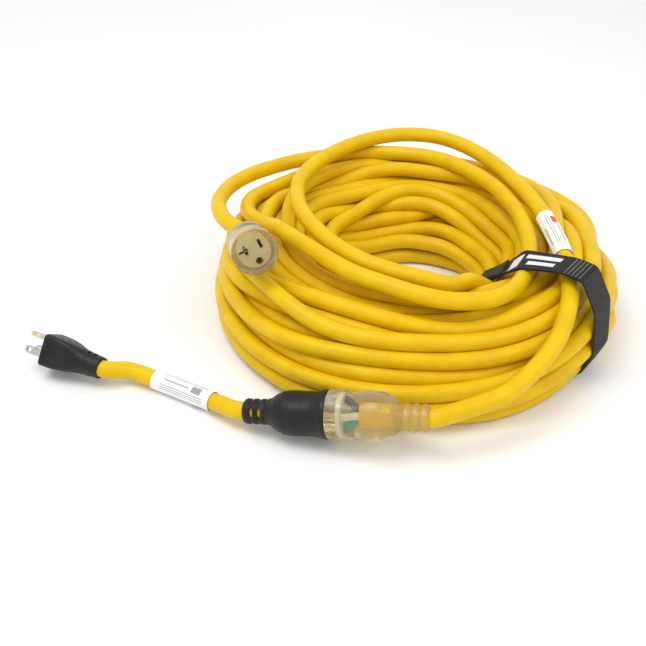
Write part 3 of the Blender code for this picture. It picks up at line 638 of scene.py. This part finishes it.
def lathe(profile, steps=96):
    """Solid of revolution about local Z, from (distance, radius) points that begin and end on the axis."""
    bm = bmesh.new()
    rings = []
    for height, radius in profile:
        count = steps if radius > 1e-6 else 1
        turns = [2 * pi * i / steps for i in range(count)]
        rings.append([bm.verts.new((radius * cos(a), radius * sin(a), height)) for a in turns])
    for lower, upper in zip(rings, rings[1:]):
        for i in range(steps):
            j = (i + 1) % steps
            ends = ((lower, i), (lower, j), (upper, j), (upper, i))
            corners = dict.fromkeys(ring[k % len(ring)] for ring, k in ends)
            if len(corners) > 2:
                bm.faces.new(tuple(corners))
    return bm


def lofted(loops):
    """Solid through closed rings of points."""
    bm = bmesh.new()
    loops = [[bm.verts.new(point) for point in loop] for loop in loops]
    for lower, upper in zip(loops, loops[1:]):
        for i in range(len(lower)):
            j = (i + 1) % len(lower)
            bm.faces.new((lower[i], lower[j], upper[j], upper[i]))
    bm.faces.new(loops[0])
    bm.faces.new(loops[-1])
    return bm


def turned(bm, angle, axis):
    bmesh.ops.rotate(bm, matrix=Matrix.Rotation(angle, 3, axis), verts=bm.verts)
    return bm


def moved(bm, offset):
    bmesh.ops.translate(bm, vec=offset, verts=bm.verts)
    return bm


def rounded_box(size, middle, radius):
    bm = bmesh.new()
    bmesh.ops.create_cube(bm, size=1.0)
    bmesh.ops.scale(bm, vec=size, verts=bm.verts)
    moved(bm, middle)
    bmesh.ops.bevel(bm, geom=list(bm.edges), offset=radius, segments=3, profile=0.5, affect="EDGES")
    return bm


def disc(front, back, radius, fillet):
    return lathe(rounded([(front, 0, 0), (front, radius, fillet), (back, radius, fillet), (back, 0, 0)]))


def rod(radius, low, high, place, steps=48):
    return moved(lathe([(low, 0), (low, radius), (high, radius), (high, 0)], steps), (*place, 0))


def carved(obj, *cutters):
    """Takes the shapes of the cutting bmeshes, in the piece's own space, out of it."""
    tools = []
    for i, bm in enumerate(cutters):
        tool = meshed(f"{obj.name}_cutter_{i}", bm, obj.data.materials[0], obj.matrix_world.copy())
        tools.append(tool)
        boolean = obj.modifiers.new(tool.name, "BOOLEAN")
        boolean.operation = "DIFFERENCE"
        boolean.object = tool
    bpy.context.view_layer.update()
    evaluated = obj.evaluated_get(bpy.context.evaluated_depsgraph_get())
    data = bpy.data.meshes.new_from_object(evaluated)
    obj.modifiers.clear()
    obj.data = data
    data.name = obj.name
    for tool in tools:
        bpy.data.objects.remove(tool)
    data.shade_smooth()
    data.set_sharp_from_angle(angle=radians(32))


def squeezed(bm, middle, reach, depth, axis):
    """Presses two opposite sides of a moulding in: a pair of soft dips where the fingers go."""
    for vert in bm.verts:
        around = Vector((vert.co.x, vert.co.y))
        if around.length < 1e-6:
            continue
        fall = max(0, 1 - ((vert.co.z - middle) / reach) ** 2) ** 2
        side = abs(around.normalized()[axis]) ** 4
        shrink = 1 - depth * fall * side / around.length
        vert.co.x *= shrink
        vert.co.y *= shrink
    return bm


# ---- pieces on the cords' ends
def contact_mouths(front, back):
    """Slots of a 20 A face: an upright one, a T-shaped one and a round hole."""
    depth, middle = front - back, (front + back) / 2
    return [
        rounded_box((0.0023, 0.0076, depth), (BLADE_HALF_PITCH, BLADE_Y, middle), 0.0003),
        rounded_box((0.0023, 0.0076, depth), (0.0004 - BLADE_HALF_PITCH, BLADE_Y, middle), 0.0003),
        rounded_box((0.0073, 0.0021, depth - 0.0004),
                    (TURNED_BLADE_X - 0.0002, BLADE_Y + 0.0001, middle), 0.0002),
        rod(0.0029, back, front, (0, PIN_Y)),
    ]


def moulding(outline, tail, rings_end, ring_r, lip, mouth_r):
    """Solid of a round moulded end: its outline from the face, raised rings, and the flat tail."""
    start, corners = outline[-1][0], list(outline)
    step = (rings_end - start) / RINGS
    for i in range(RINGS):
        low = start + step * i
        corners += [(low + 0.1 * step, ring_r, 0.001), (low + 0.34 * step, ring_r + lip, 0.001),
                    (low + 0.74 * step, ring_r + lip, 0.001), (low + step, ring_r, 0.001)]
    return lathe([(outline[0][0], 0), *rounded(corners), (tail, mouth_r), (tail, 0)])


def blade_piece(name, matrix, size_x, size_y, x, back, tip, hole, material):
    """Folded flat blade along local Z with a tapered tip and, on some, a round hole near it."""
    broad, thick = max(size_x, size_y), min(size_x, size_y)
    way = 1 if tip > back else -1
    half, nose = broad / 2, 0.0022
    outline = rounded([
        (-half, back, 0), (-half, tip - way * nose, 0.001), (-half + 0.0011, tip, 0.0009),
        (half - 0.0011, tip, 0.0009), (half, tip - way * nose, 0.001), (half, back, 0),
    ], 4)
    layers = []
    for side, inset in ((-1, 0.00018), (-0.7, 0.0), (0.7, 0.0), (1, 0.00018)):
        shrink = 1 - inset / half
        layers.append([
            (a * shrink, side * thick / 2, b - (way * inset if abs(b - tip) < 0.0001 else 0))
            for a, b in outline
        ])
    bm = lofted(layers)
    if size_x < size_y:
        turned(bm, pi / 2, "Z")
    obj = meshed(name, moved(bm, (x, BLADE_Y, 0)), material, matrix)
    if hole:
        drill = turned(rod(BLADE_HOLE_R, -0.03, 0.03, (0, 0)), pi / 2, "Y")
        carved(obj, moved(drill, (0, BLADE_Y, tip - way * 0.004)))
    return obj


def pin_piece(name, matrix, back, tip, material):
    way = 1 if tip > back else -1
    dome = [(tip - way * PIN_R * (1 - sin(a)), PIN_R * cos(a)) for a in np.linspace(0, pi / 2, 9)]
    bm = lathe([(back, 0), (back, PIN_R), *dome[:-1], (tip, 0)], 48)
    return meshed(name, moved(bm, (0, PIN_Y, 0)), material, matrix)


def wire_piece(name, matrix, terminal, start_angle, terminal_depth, jacket_depth, material):
    """One insulated conductor, in an S bend from the jacket's end to its terminal."""
    inner = Vector((WIRE_PITCH_R * cos(start_angle), WIRE_PITCH_R * sin(start_angle)))
    points = []
    for share in np.linspace(0, 1, 17):
        ease = share * share * (3 - 2 * share)
        across = inner.lerp(Vector(terminal), ease)
        points.append(matrix @ Vector((*across, jacket_depth + (terminal_depth - jacket_depth) * share)))
    return tube(name, points, WIRE_R, material, 4)


def settle(obj, body, slot, *nodes):
    """Gives a piece its points in the shared frame and its body, and hides the CAD nodes it stands for; the
    slot is not used.
    """
    obj.data.transform(obj.matrix_world)
    obj.matrix_world = Matrix()
    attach(obj, body)
    if nodes:
        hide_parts(*nodes)


def free_connector(use):
    """Clear shell with the slots in its face, and the tan insulator inside it."""
    tail = -CONNECTOR_TAIL
    solid = moulding(FREE_CONNECTOR_OUTLINE, tail, tail + 0.0008, 0.0092, 0.0009, 0.0084)
    shell = meshed("connector_shell", squeezed(solid, -0.0215, 0.012, 0.0012, 0), use["milky"], CONNECTOR)
    carved(shell, *contact_mouths(0.002, -CARRIER_DEPTH))
    settle(shell, "main_cord", "clear_pvc", "connector_body")
    solid = disc(-CARRIER_FRONT, -CARRIER_DEPTH, CARRIER_R, 0.0008)
    carrier = meshed("connector_insulator", solid, use["resin"], CONNECTOR)
    carved(carrier, *contact_mouths(0.002, -CARRIER_DEPTH - 0.002))
    settle(carrier, "main_cord", "carrier_resin", "connector_carrier")
    end_wires("connector", CONNECTOR, "main_cord", -CARRIER_DEPTH, -JACKET_IN_CONNECTOR, use)


def end_wires(prefix, matrix, body, terminal_depth, jacket_depth, use):
    """The three conductors between a cord's jacket and the terminals of its moulded end."""
    places = {
        "black": ((BLADE_HALF_PITCH, BLADE_Y), radians(30)),
        "white": ((TURNED_BLADE_X, BLADE_Y), radians(150)),
        "green": ((0, PIN_Y), radians(-90)),
    }
    for colour, (terminal, angle) in places.items():
        wire = wire_piece(f"{prefix}_conductor_{colour}", matrix, terminal, angle, terminal_depth,
                          jacket_depth, use["wire_" + colour])
        settle(wire, body, "wire_" + colour, f"{prefix}_wire_{colour}")


def main_plug(use):
    """Clear shell, the bridge inside it that holds the blades and the pin, and those three."""
    solid = moulding(PLUG_OUTLINE, PLUG_TAIL, PLUG_TAIL - 0.0008, 0.0092, 0.0009, 0.0084)
    shell = meshed("plug_shell", squeezed(solid, 0.02, 0.0085, 0.0013, 1), use["milky"], PAIR)
    settle(shell, "main_cord", "clear_pvc", "plug_body")
    bridge = meshed("plug_bridge_disc", disc(BRIDGE_FRONT, BRIDGE_BACK, 0.0121, 0.0006), use["nylon"], PAIR)
    settle(bridge, "main_cord", "white_nylon", "plug_bridge")
    hot = blade_piece("plug_blade_upright", PAIR, BLADE_THICK, BLADE_WIDTH, BLADE_HALF_PITCH, BRIDGE_BACK,
                      -BLADE_LENGTH, False, use["nickel"])
    settle(hot, "main_cord", "nickel_plate", "plug_blade_hot")
    flat = blade_piece("plug_blade_turned", PAIR, BLADE_WIDTH, BLADE_THICK, TURNED_BLADE_X, BRIDGE_BACK,
                       -BLADE_LENGTH, False, use["nickel"])
    settle(flat, "main_cord", "nickel_plate", "plug_blade_neutral")
    pin = pin_piece("plug_earth_pin", PAIR, BRIDGE_BACK, -PIN_LENGTH, use["brass"])
    settle(pin, "main_cord", "brass", "plug_ground_pin")
    end_wires("plug", PAIR, "main_cord", BRIDGE_BACK, JACKET_IN_PLUG, use)


def adapter_connector(use):
    """Black shell, open in front for the insulator and bored for the cord."""
    tail = -ADAPTER_CONNECTOR_TAIL
    solid = moulding(ADAPTER_CONNECTOR_OUTLINE, tail, tail + 0.0006, 0.0087, 0.0008, 0.0078)
    shell = meshed("adapter_connector_shell", squeezed(solid, -0.0215, 0.011, 0.001, 1), use["black"], PAIR)
    hollow = [
        (0.003, 0), (0.003, 0.0134), (-0.0245, 0.0134), (-0.0355, BORE_R), (-0.07, BORE_R), (-0.07, 0),
    ]
    windows = [turned(rounded_box((0.04, 0.0074, 0.0028), (0, 0, depth), 0.0006), WINDOW_TURN, "Z")
               for depth in (-0.0508, -0.0568)]
    carved(shell, lathe(hollow), *windows)
    settle(shell, "adapter", "black_pvc", "adapter_connector_body")


def superellipse(half_x, half_y, power, height, sides=96):
    """Points of a ring that is round at power 2 and squarer above it."""
    ring = []
    for side in range(sides):
        c, s = cos(2 * pi * side / sides), sin(2 * pi * side / sides)
        x = half_x * abs(c) ** (2 / power) * (1 if c >= 0 else -1)
        y = half_y * abs(s) ** (2 / power) * (1 if s >= 0 else -1)
        ring.append((x, y, height))
    return ring


def adapter_plug(use):
    """Black flat-sided shell lofted through its stations, two drilled blades and a pin."""
    stations = np.array(ADAPTER_PLUG_STATIONS)
    depths = np.concatenate([stations[:3, 0], np.linspace(-0.003, -0.048, 40), stations[-2:, 0]])
    loops = []
    for depth in depths:
        half_x, half_y, power = (np.interp(-depth, -stations[:, 0], stations[:, i]) for i in (1, 2, 3))
        loops.append(superellipse(half_x, half_y, power, depth))
    shell = meshed("adapter_plug_shell", lofted(loops), use["black"], ADAPTER)
    grips = [rounded_box((0.003, 0.013, 0.015), (side * 0.0132, 0, -0.0115), 0.0009) for side in (-1, 1)]
    windows = [rounded_box((0.0075, 0.04, 0.0023), (0, 0, depth), 0.0005) for depth in (-0.037, -0.0425)]
    bore = lathe([(-0.0255, 0), (-0.0255, BORE_R), (-0.052, BORE_R), (-0.052, 0)])
    carved(shell, *grips, *windows, bore)
    settle(shell, "adapter", "black_pvc", "adapter_plug_body")
    for name, x in (("hot", -BLADE_HALF_PITCH), ("neutral", BLADE_HALF_PITCH)):
        piece = blade_piece(f"adapter_contact_blade_{name}", ADAPTER, BLADE_THICK, BLADE_WIDTH, x,
                            -ADAPTER_BRIDGE_BACK, BLADE_LENGTH, True, use["nickel"])
        settle(piece, "adapter", "nickel_plate", f"adapter_blade_{name}")
    pin = pin_piece("adapter_earth_pin", ADAPTER, -ADAPTER_BRIDGE_BACK, PIN_LENGTH, use["brass"])
    settle(pin, "adapter", "brass", "adapter_ground_pin")


# ---- cords and labels
def cumulative(points):
    return np.concatenate([[0], np.cumsum(np.linalg.norm(np.diff(points, axis=0), axis=1))])


def read_off(line, travelled, wanted):
    """Points of a line at the wanted distances along it."""
    return np.stack([np.interp(wanted, travelled, line[:, i]) for i in range(3)], axis=-1)


def finer(points, spacing):
    """Evenly spaced points of a smooth curve through the given ones."""
    dense = np.array([tuple(p) for p in smooth_route(points, dense=4)])
    travelled = cumulative(dense)
    wanted = np.linspace(0, travelled[-1], round(travelled[-1] / spacing) + 1)
    return read_off(dense, travelled, wanted)


def in_moulding(matrix, jacket, tail):
    """Straight points of a cord inside its moulded end."""
    return [tuple(matrix @ Vector((0, 0, d))) for d in np.linspace(jacket, tail, 5)]


def across_line(points):
    """Two unit directions across a line, which turn with it as little as they can."""
    along = np.gradient(points, axis=0)
    along /= np.linalg.norm(along, axis=1)[:, None]
    side = np.cross(along[0], (0, 0, 1.0))
    sides = []
    for way in along:
        side = side - way * side.dot(way)
        side /= np.linalg.norm(side)
        sides.append(side)
    return np.array(sides), np.cross(np.array(sides), along)


def panel(bm, strip, corners, places):
    """A face whose corners lie at the given places (along, across) of a strip."""
    face = bm.faces.new(corners)
    for loop, place in zip(face.loops, places):
        loop[strip].uv = place
    return face


def label_piece(name, line, first, last, turn, material):
    """Paper wrapped once round a cord between two distances along it, its ends overlapping a little."""
    stations = np.linspace(first, last, 24)
    points = read_off(line, cumulative(line), stations)
    sides, ups = across_line(points)
    bm = bmesh.new()
    strip = bm.loops.layers.uv.new("strip")
    steps = 60
    grid = {}
    for layer, radius in enumerate((CORD_R + LABEL_LIFT, CORD_R + LABEL_LIFT + LABEL_THICK)):
        for i, point in enumerate(points):
            for j in range(steps):
                angle = turn + 2 * pi * j / steps
                lift = radius + (0.00035 if j == 0 else 0)
                way = cos(angle) * sides[i] + sin(angle) * ups[i]
                grid[layer, i, j] = bm.verts.new(point + lift * way)

    around = 2 * pi * CORD_R
    for j in range(steps):
        k = (j + 1) % steps
        low, high = around * j / steps, around * (j + 1) / steps
        for i in range(len(points) - 1):
            near, far = stations[i] - first, stations[i + 1] - first
            places = ((near, low), (far, low), (far, high), (near, high))
            panel(bm, strip, (grid[1, i, j], grid[1, i + 1, j], grid[1, i + 1, k], grid[1, i, k]), places)
            bm.faces.new((grid[0, i, k], grid[0, i + 1, k], grid[0, i + 1, j], grid[0, i, j]))
        for i in (0, len(points) - 1):
            bm.faces.new((grid[0, i, j], grid[1, i, j], grid[1, i, k], grid[0, i, k]))
    return meshed(name, bm, material)


# ---- the strap
def strap_place(along, across, height):
    """Point from the coil's axis: along the strap's azimuth, across its width, and up."""
    c, s = cos(STRAP_AZIMUTH), sin(STRAP_AZIMUTH)
    return np.array([along * c - across * s, along * s + across * c, height])


def strap_rim(points, across):
    """Hull of the strands that the strap goes round, in the upright plane at a distance across it."""
    c, s = cos(STRAP_AZIMUTH), sin(STRAP_AZIMUTH)
    along = points[:, 0] * c + points[:, 1] * s
    off = -points[:, 0] * s + points[:, 1] * c - across
    crossing = np.nonzero((off[:-1] * off[1:] <= 0) & (along[:-1] > 0))[0]
    share = off[crossing] / (off[crossing] - off[crossing + 1] + 1e-12)
    step = points[crossing + 1] - points[crossing]
    centres = np.stack([along[crossing] + share * (along[crossing + 1] - along[crossing]),
                        points[crossing, 2] + share * step[:, 2]], axis=1)
    angles = np.linspace(0, 2 * pi, 180, endpoint=False)
    normals = np.stack([np.cos(angles), np.sin(angles)], axis=1)
    support = (centres @ normals.T).max(axis=0) + CORD_R
    support = np.maximum(support, (np.array(STRAP_SHOULDERS) @ normals.T).max(axis=0))
    middle = np.array(STRAP_MIDDLE)
    rays = np.linspace(0, 2 * pi, STRAP_RAYS, endpoint=False)
    ways = np.stack([np.cos(rays), np.sin(rays)], axis=1)
    lean = ways @ normals.T
    reach = np.where(lean > 0.05, (support - normals @ middle) / np.maximum(lean, 0.05), 9.0).min(axis=1)
    return middle + ways * reach[:, None]


def strap_sheet(points, inner, outer, first=0, last=STRAP_RAYS):
    """Two grids of the strap's faces over part of its way round, and the distance along it."""
    widths = np.linspace(-STRAP_WIDTH / 2, STRAP_WIDTH / 2, STRAP_CORNERS + 1)
    rims = np.stack([strap_rim(points, width) for width in widths], axis=1)
    for _ in range(3):
        rims = (np.roll(rims, 1, axis=0) + 2 * rims + np.roll(rims, -1, axis=0)) / 4
    # From the inner side, over the top and down the outer side.
    order = (STRAP_RAYS // 2 - np.arange(STRAP_RAYS)) % STRAP_RAYS
    rims = rims[order]
    forward = np.roll(rims, -1, axis=0) - np.roll(rims, 1, axis=0)
    forward /= np.linalg.norm(forward, axis=2)[..., None]
    out = np.stack([-forward[..., 1], forward[..., 0]], axis=-1)
    middle = rims[:, STRAP_CORNERS // 2]
    travelled = cumulative(np.concatenate([middle, middle[:1]]))
    picked = np.arange(first, last + 1) % STRAP_RAYS

    def face(lift):
        lift = np.broadcast_to(lift, (last - first + 1,))
        spots = rims[picked] + out[picked] * lift[:, None, None]
        return np.array([[strap_place(*(spot[0], width, spot[1])) for spot, width in zip(row, widths)]
                         for row in spots]) + np.array(COIL_CENTRE)

    return face(inner), face(outer), travelled[first : last + 1], widths


def ribbon(name, sheet, closed, materials, change=9.0):
    """A strip with square edges; faces further along than change take the second material."""
    inner, outer, along, widths = sheet
    bm = bmesh.new()
    strip = bm.loops.layers.uv.new("strip")
    rows = len(along) - 1 if closed else len(along)
    grids = [[[bm.verts.new(p) for p in row] for row in face[:rows]] for face in (inner, outer)]
    columns = len(widths) - 1

    def laid(corners, places):
        panel(bm, strip, corners, places).material_index = int(places[0][0] >= change)

    for i in range(len(along) - 1):
        j = (i + 1) % rows
        for k in range(columns):
            places = ((along[i], widths[k]), (along[i], widths[k + 1]), (along[i + 1], widths[k + 1]),
                      (along[i + 1], widths[k]))
            for side in grids:
                laid((side[i][k], side[i][k + 1], side[j][k + 1], side[j][k]), places)
        for k in (0, columns):
            places = ((along[i], widths[k]),) * 2 + ((along[i + 1], widths[k]),) * 2
            laid((grids[0][i][k], grids[1][i][k], grids[1][j][k], grids[0][j][k]), places)
    if not closed:
        for i in (0, rows - 1):
            for k in range(columns):
                places = ((along[i], widths[k]),) * 4
                laid((grids[0][i][k], grids[1][i][k], grids[1][i][k + 1], grids[0][i][k + 1]), places)
    obj = meshed(name, bm, materials[0], sharp=50)
    for extra in materials[1:]:
        obj.data.materials.append(extra)
    return obj


def stitches(name, sheet, material):
    """Rows of short beads of thread across the strap, where its two parts are sewn together."""
    _, outer, along, _ = sheet
    bm = bmesh.new()
    for row in range(5):
        wanted = STRAP_SEAM + STITCH_PITCH * row
        i = int(np.searchsorted(along, wanted)) - 1
        share = (wanted - along[i]) / (along[i + 1] - along[i])
        line = outer[i] * (1 - share) + outer[i + 1] * share
        ahead = Vector(outer[i + 1][STRAP_CORNERS // 2] - outer[i][STRAP_CORNERS // 2]).normalized()
        travelled = cumulative(line)
        for spot in np.linspace(0.0022, STRAP_WIDTH - 0.0022, 13):
            place = read_off(line, travelled, spot)
            made = bmesh.ops.create_icosphere(bm, subdivisions=2, radius=1.0)["verts"]
            side = Vector(line[-1] - line[0]).normalized()
            turn = Matrix((side, ahead, side.cross(ahead))).transposed()
            bmesh.ops.scale(bm, vec=STITCH_HALVES, verts=made)
            bmesh.ops.rotate(bm, matrix=turn, verts=made)
            bmesh.ops.translate(bm, vec=place, verts=made)
    return meshed(name, bm, material, sharp=180)


# ---- the object
def all_materials():
    return {
        "yellow": moulded("yellow_pvc_jacket", YELLOW_LOW, YELLOW_HIGH, 0.36, 0.00001,
                          specular_ior_level=0.22),
        "black": moulded("black_pvc_moulding", BLACK_LOW, BLACK_HIGH, 0.42, 0.00003,
                         specular_ior_level=0.3),
        "milky": moulded("milky_clear_pvc", MILKY_LOW, MILKY_HIGH, 0.15, 0.000002,
                         transmission_weight=0.92, ior=1.42),
        "resin": moulded("insulator_resin", (0.62, 0.5, 0.26), (0.74, 0.62, 0.38), 0.4, 0.00002),
        "nylon": moulded("bridge_nylon", (0.8, 0.78, 0.7), (0.86, 0.84, 0.78), 0.45, 0.00002),
        "wire_black": moulded("conductor_black", (0.012, 0.012, 0.012), (0.03, 0.028, 0.026), 0.4, 0.00001),
        "wire_white": moulded("conductor_white", (0.8, 0.79, 0.74), (0.86, 0.85, 0.8), 0.4, 0.00001),
        "wire_green": moulded("conductor_green", (0.01, 0.36, 0.27), (0.02, 0.46, 0.36), 0.4, 0.00001),
        "brass": metal("brass_contact", (0.66, 0.58, 0.4), (0.8, 0.72, 0.54), 0.24),
        "nickel": metal("nickel_plated_blade", (0.5, 0.49, 0.46), (0.68, 0.66, 0.62), 0.22),
        "thread": moulded("stitching_thread", (0.3, 0.29, 0.29), (0.42, 0.41, 0.4), 0.8, 0.00004),
        "strap": strap_material(),
        "loops": loop_fabric_material(),
    }


def carried_over(use):
    """Better materials on the CAD nodes that stay."""
    finishes = {
        "brass": [f"{end}_contact_{pole}" for end in ("connector", "adapter_connector") for pole in POLES],
        "resin": ["adapter_connector_carrier"],
        "nylon": ["adapter_plug_bridge"],
    }
    for colour in ("black", "white", "green"):
        finishes["wire_" + colour] = [f"adapter_connector_wire_{colour}", f"adapter_plug_wire_{colour}"]
    for material, names in finishes.items():
        for name in names:
            bpy.data.objects[name].material_slots[0].material = use[material]


def printed_label(name, line, start, span, ink, body):
    """A cord's label, at a span of distances from the mouth that lies start along the line."""
    paper = label_material(name + "_vinyl", span[1] - span[0], ink)
    label = label_piece(name + "_wrap", line, start + span[0], start + span[1], radians(180), paper)
    settle(label, body, "label_paper", name)


def main_cord(use, wound):
    """The jacket from plug to connector, as one open line, and a stub of it inside the plug."""
    origin = np.array(COIL_CENTRE)
    line = finer(np.concatenate([
        in_moulding(PAIR, JACKET_STUB, PLUG_TAIL), wound + origin,
        in_moulding(CONNECTOR, -CONNECTOR_TAIL, -JACKET_IN_CONNECTOR),
    ]), 0.0055)
    jacket = tube("main_cord_jacket", line, CORD_R, use["yellow"])
    settle(jacket, "main_cord", "yellow_pvc", "cord_coil", "cord_plug_lead", "cord_connector_lead")
    inside = in_moulding(PAIR, JACKET_IN_PLUG, JACKET_STUB)
    settle(tube("main_cord_end_in_plug", inside, CORD_R, use["yellow"]), "main_cord", "yellow_pvc")
    start = PLUG_TAIL + MOUTH - JACKET_STUB
    printed_label("cord_label", line, start, CORD_LABEL_SPAN, (0.62, 0.05, 0.04), "main_cord")
    on_the_end = ["connector_shell", "connector_insulator"]
    on_the_end += [f"connector_contact_{pole}" for pole in POLES]


def adapter_cord(use):
    """The short cord's jacket, from inside its plug to inside its connector, and its label."""
    origin = np.array(COIL_CENTRE)
    ends = [at_depth(ADAPTER, -ADAPTER_PLUG_TAIL - MOUTH), at_depth(PAIR, -ADAPTER_CONNECTOR_TAIL - MOUTH)]
    route = smooth_route([ends[0], *ADAPTER_ROUTE, ends[1]], -axis_of(ADAPTER), axis_of(PAIR))
    line = finer(np.concatenate([
        in_moulding(ADAPTER, -JACKET_IN_ADAPTER, -ADAPTER_PLUG_TAIL),
        np.array([tuple(p) for p in route]) + origin,
        in_moulding(PAIR, -ADAPTER_CONNECTOR_TAIL, -JACKET_IN_CONNECTOR),
    ]), 0.004)
    jacket = tube("adapter_cord_jacket", line, CORD_R, use["yellow"])
    settle(jacket, "adapter", "yellow_pvc", "adapter_cord")
    start = ADAPTER_PLUG_TAIL + MOUTH - JACKET_IN_ADAPTER
    printed_label("adapter_label", line, start, ADAPTER_LABEL_SPAN, (0.3, 0.3, 0.31), "adapter")


def strap(use, wound):
    """The closed band round the bundle, its stitches, and its end lapped on the inner side."""
    sheet = strap_sheet(wound, 0.0002, 0.0002 + STRAP_THICK)
    band = ribbon("strap_loop", sheet, True, [use["strap"], use["loops"]], STRAP_LOOPS_START)
    settle(band, "main_cord", "strap_webbing", "strap_band")
    settle(stitches("strap_stitching", sheet, use["thread"]), "main_cord", "strap_webbing")
    lift = 0.0004 + STRAP_THICK + 0.004 * np.linspace(1, 0, 25) ** 2
    lap = strap_sheet(wound, lift, lift + STRAP_THICK, 2, 26)
    end = ribbon("strap_free_end", lap, False, [use["loops"]])
    settle(end, "main_cord", "strap_webbing", "strap_tail")


def camera():
    data = bpy.data.cameras.new("camera")
    data.lens = 900 / 646 * data.sensor_width
    obj = linked("camera", data)
    obj.location = (-0.0048, -0.6457, 0.4572)
    obj.rotation_euler = (radians(54), 0, 0)
    bpy.context.scene.camera = obj


def stage():
    """A pale floor under soft light from all round and above."""
    bm = bmesh.new()
    bmesh.ops.create_grid(bm, x_segments=2, y_segments=2, size=6.0)
    floor_material = finish("floor", 0.75)
    mottled(floor_material, (0.86, 0.86, 0.86), (0.9, 0.9, 0.9), 2)
    meshed("floor", bm, floor_material)
    world = bpy.data.worlds.new("soft_daylight")
    world.use_nodes = True
    sky = world.node_tree.nodes["Background"].inputs
    sky["Color"].default_value = (1.0, 1.0, 1.0, 1.0)
    sky["Strength"].default_value = 0.9
    bpy.context.scene.world = world
    for name, place, size, energy in (
        ("key_light", (-0.5, -0.2, 1.5), 0.8, 9), ("fill_light", (0.9, -0.6, 1.3), 0.6, 4),
    ):
        light = bpy.data.lights.new(name, "AREA")
        light.size = size
        light.energy = energy
        obj = linked(name, light)
        obj.location = place
        obj.rotation_euler = (-Vector(place)).to_track_quat("-Z", "Y").to_euler()
    bpy.context.scene.view_settings.view_transform = "Standard"


camera()
stage()
use = all_materials()
wound = winding()
free_connector(use)
main_plug(use)
adapter_connector(use)
adapter_plug(use)
carried_over(use)
main_cord(use, wound)
adapter_cord(use)
strap(use, wound)
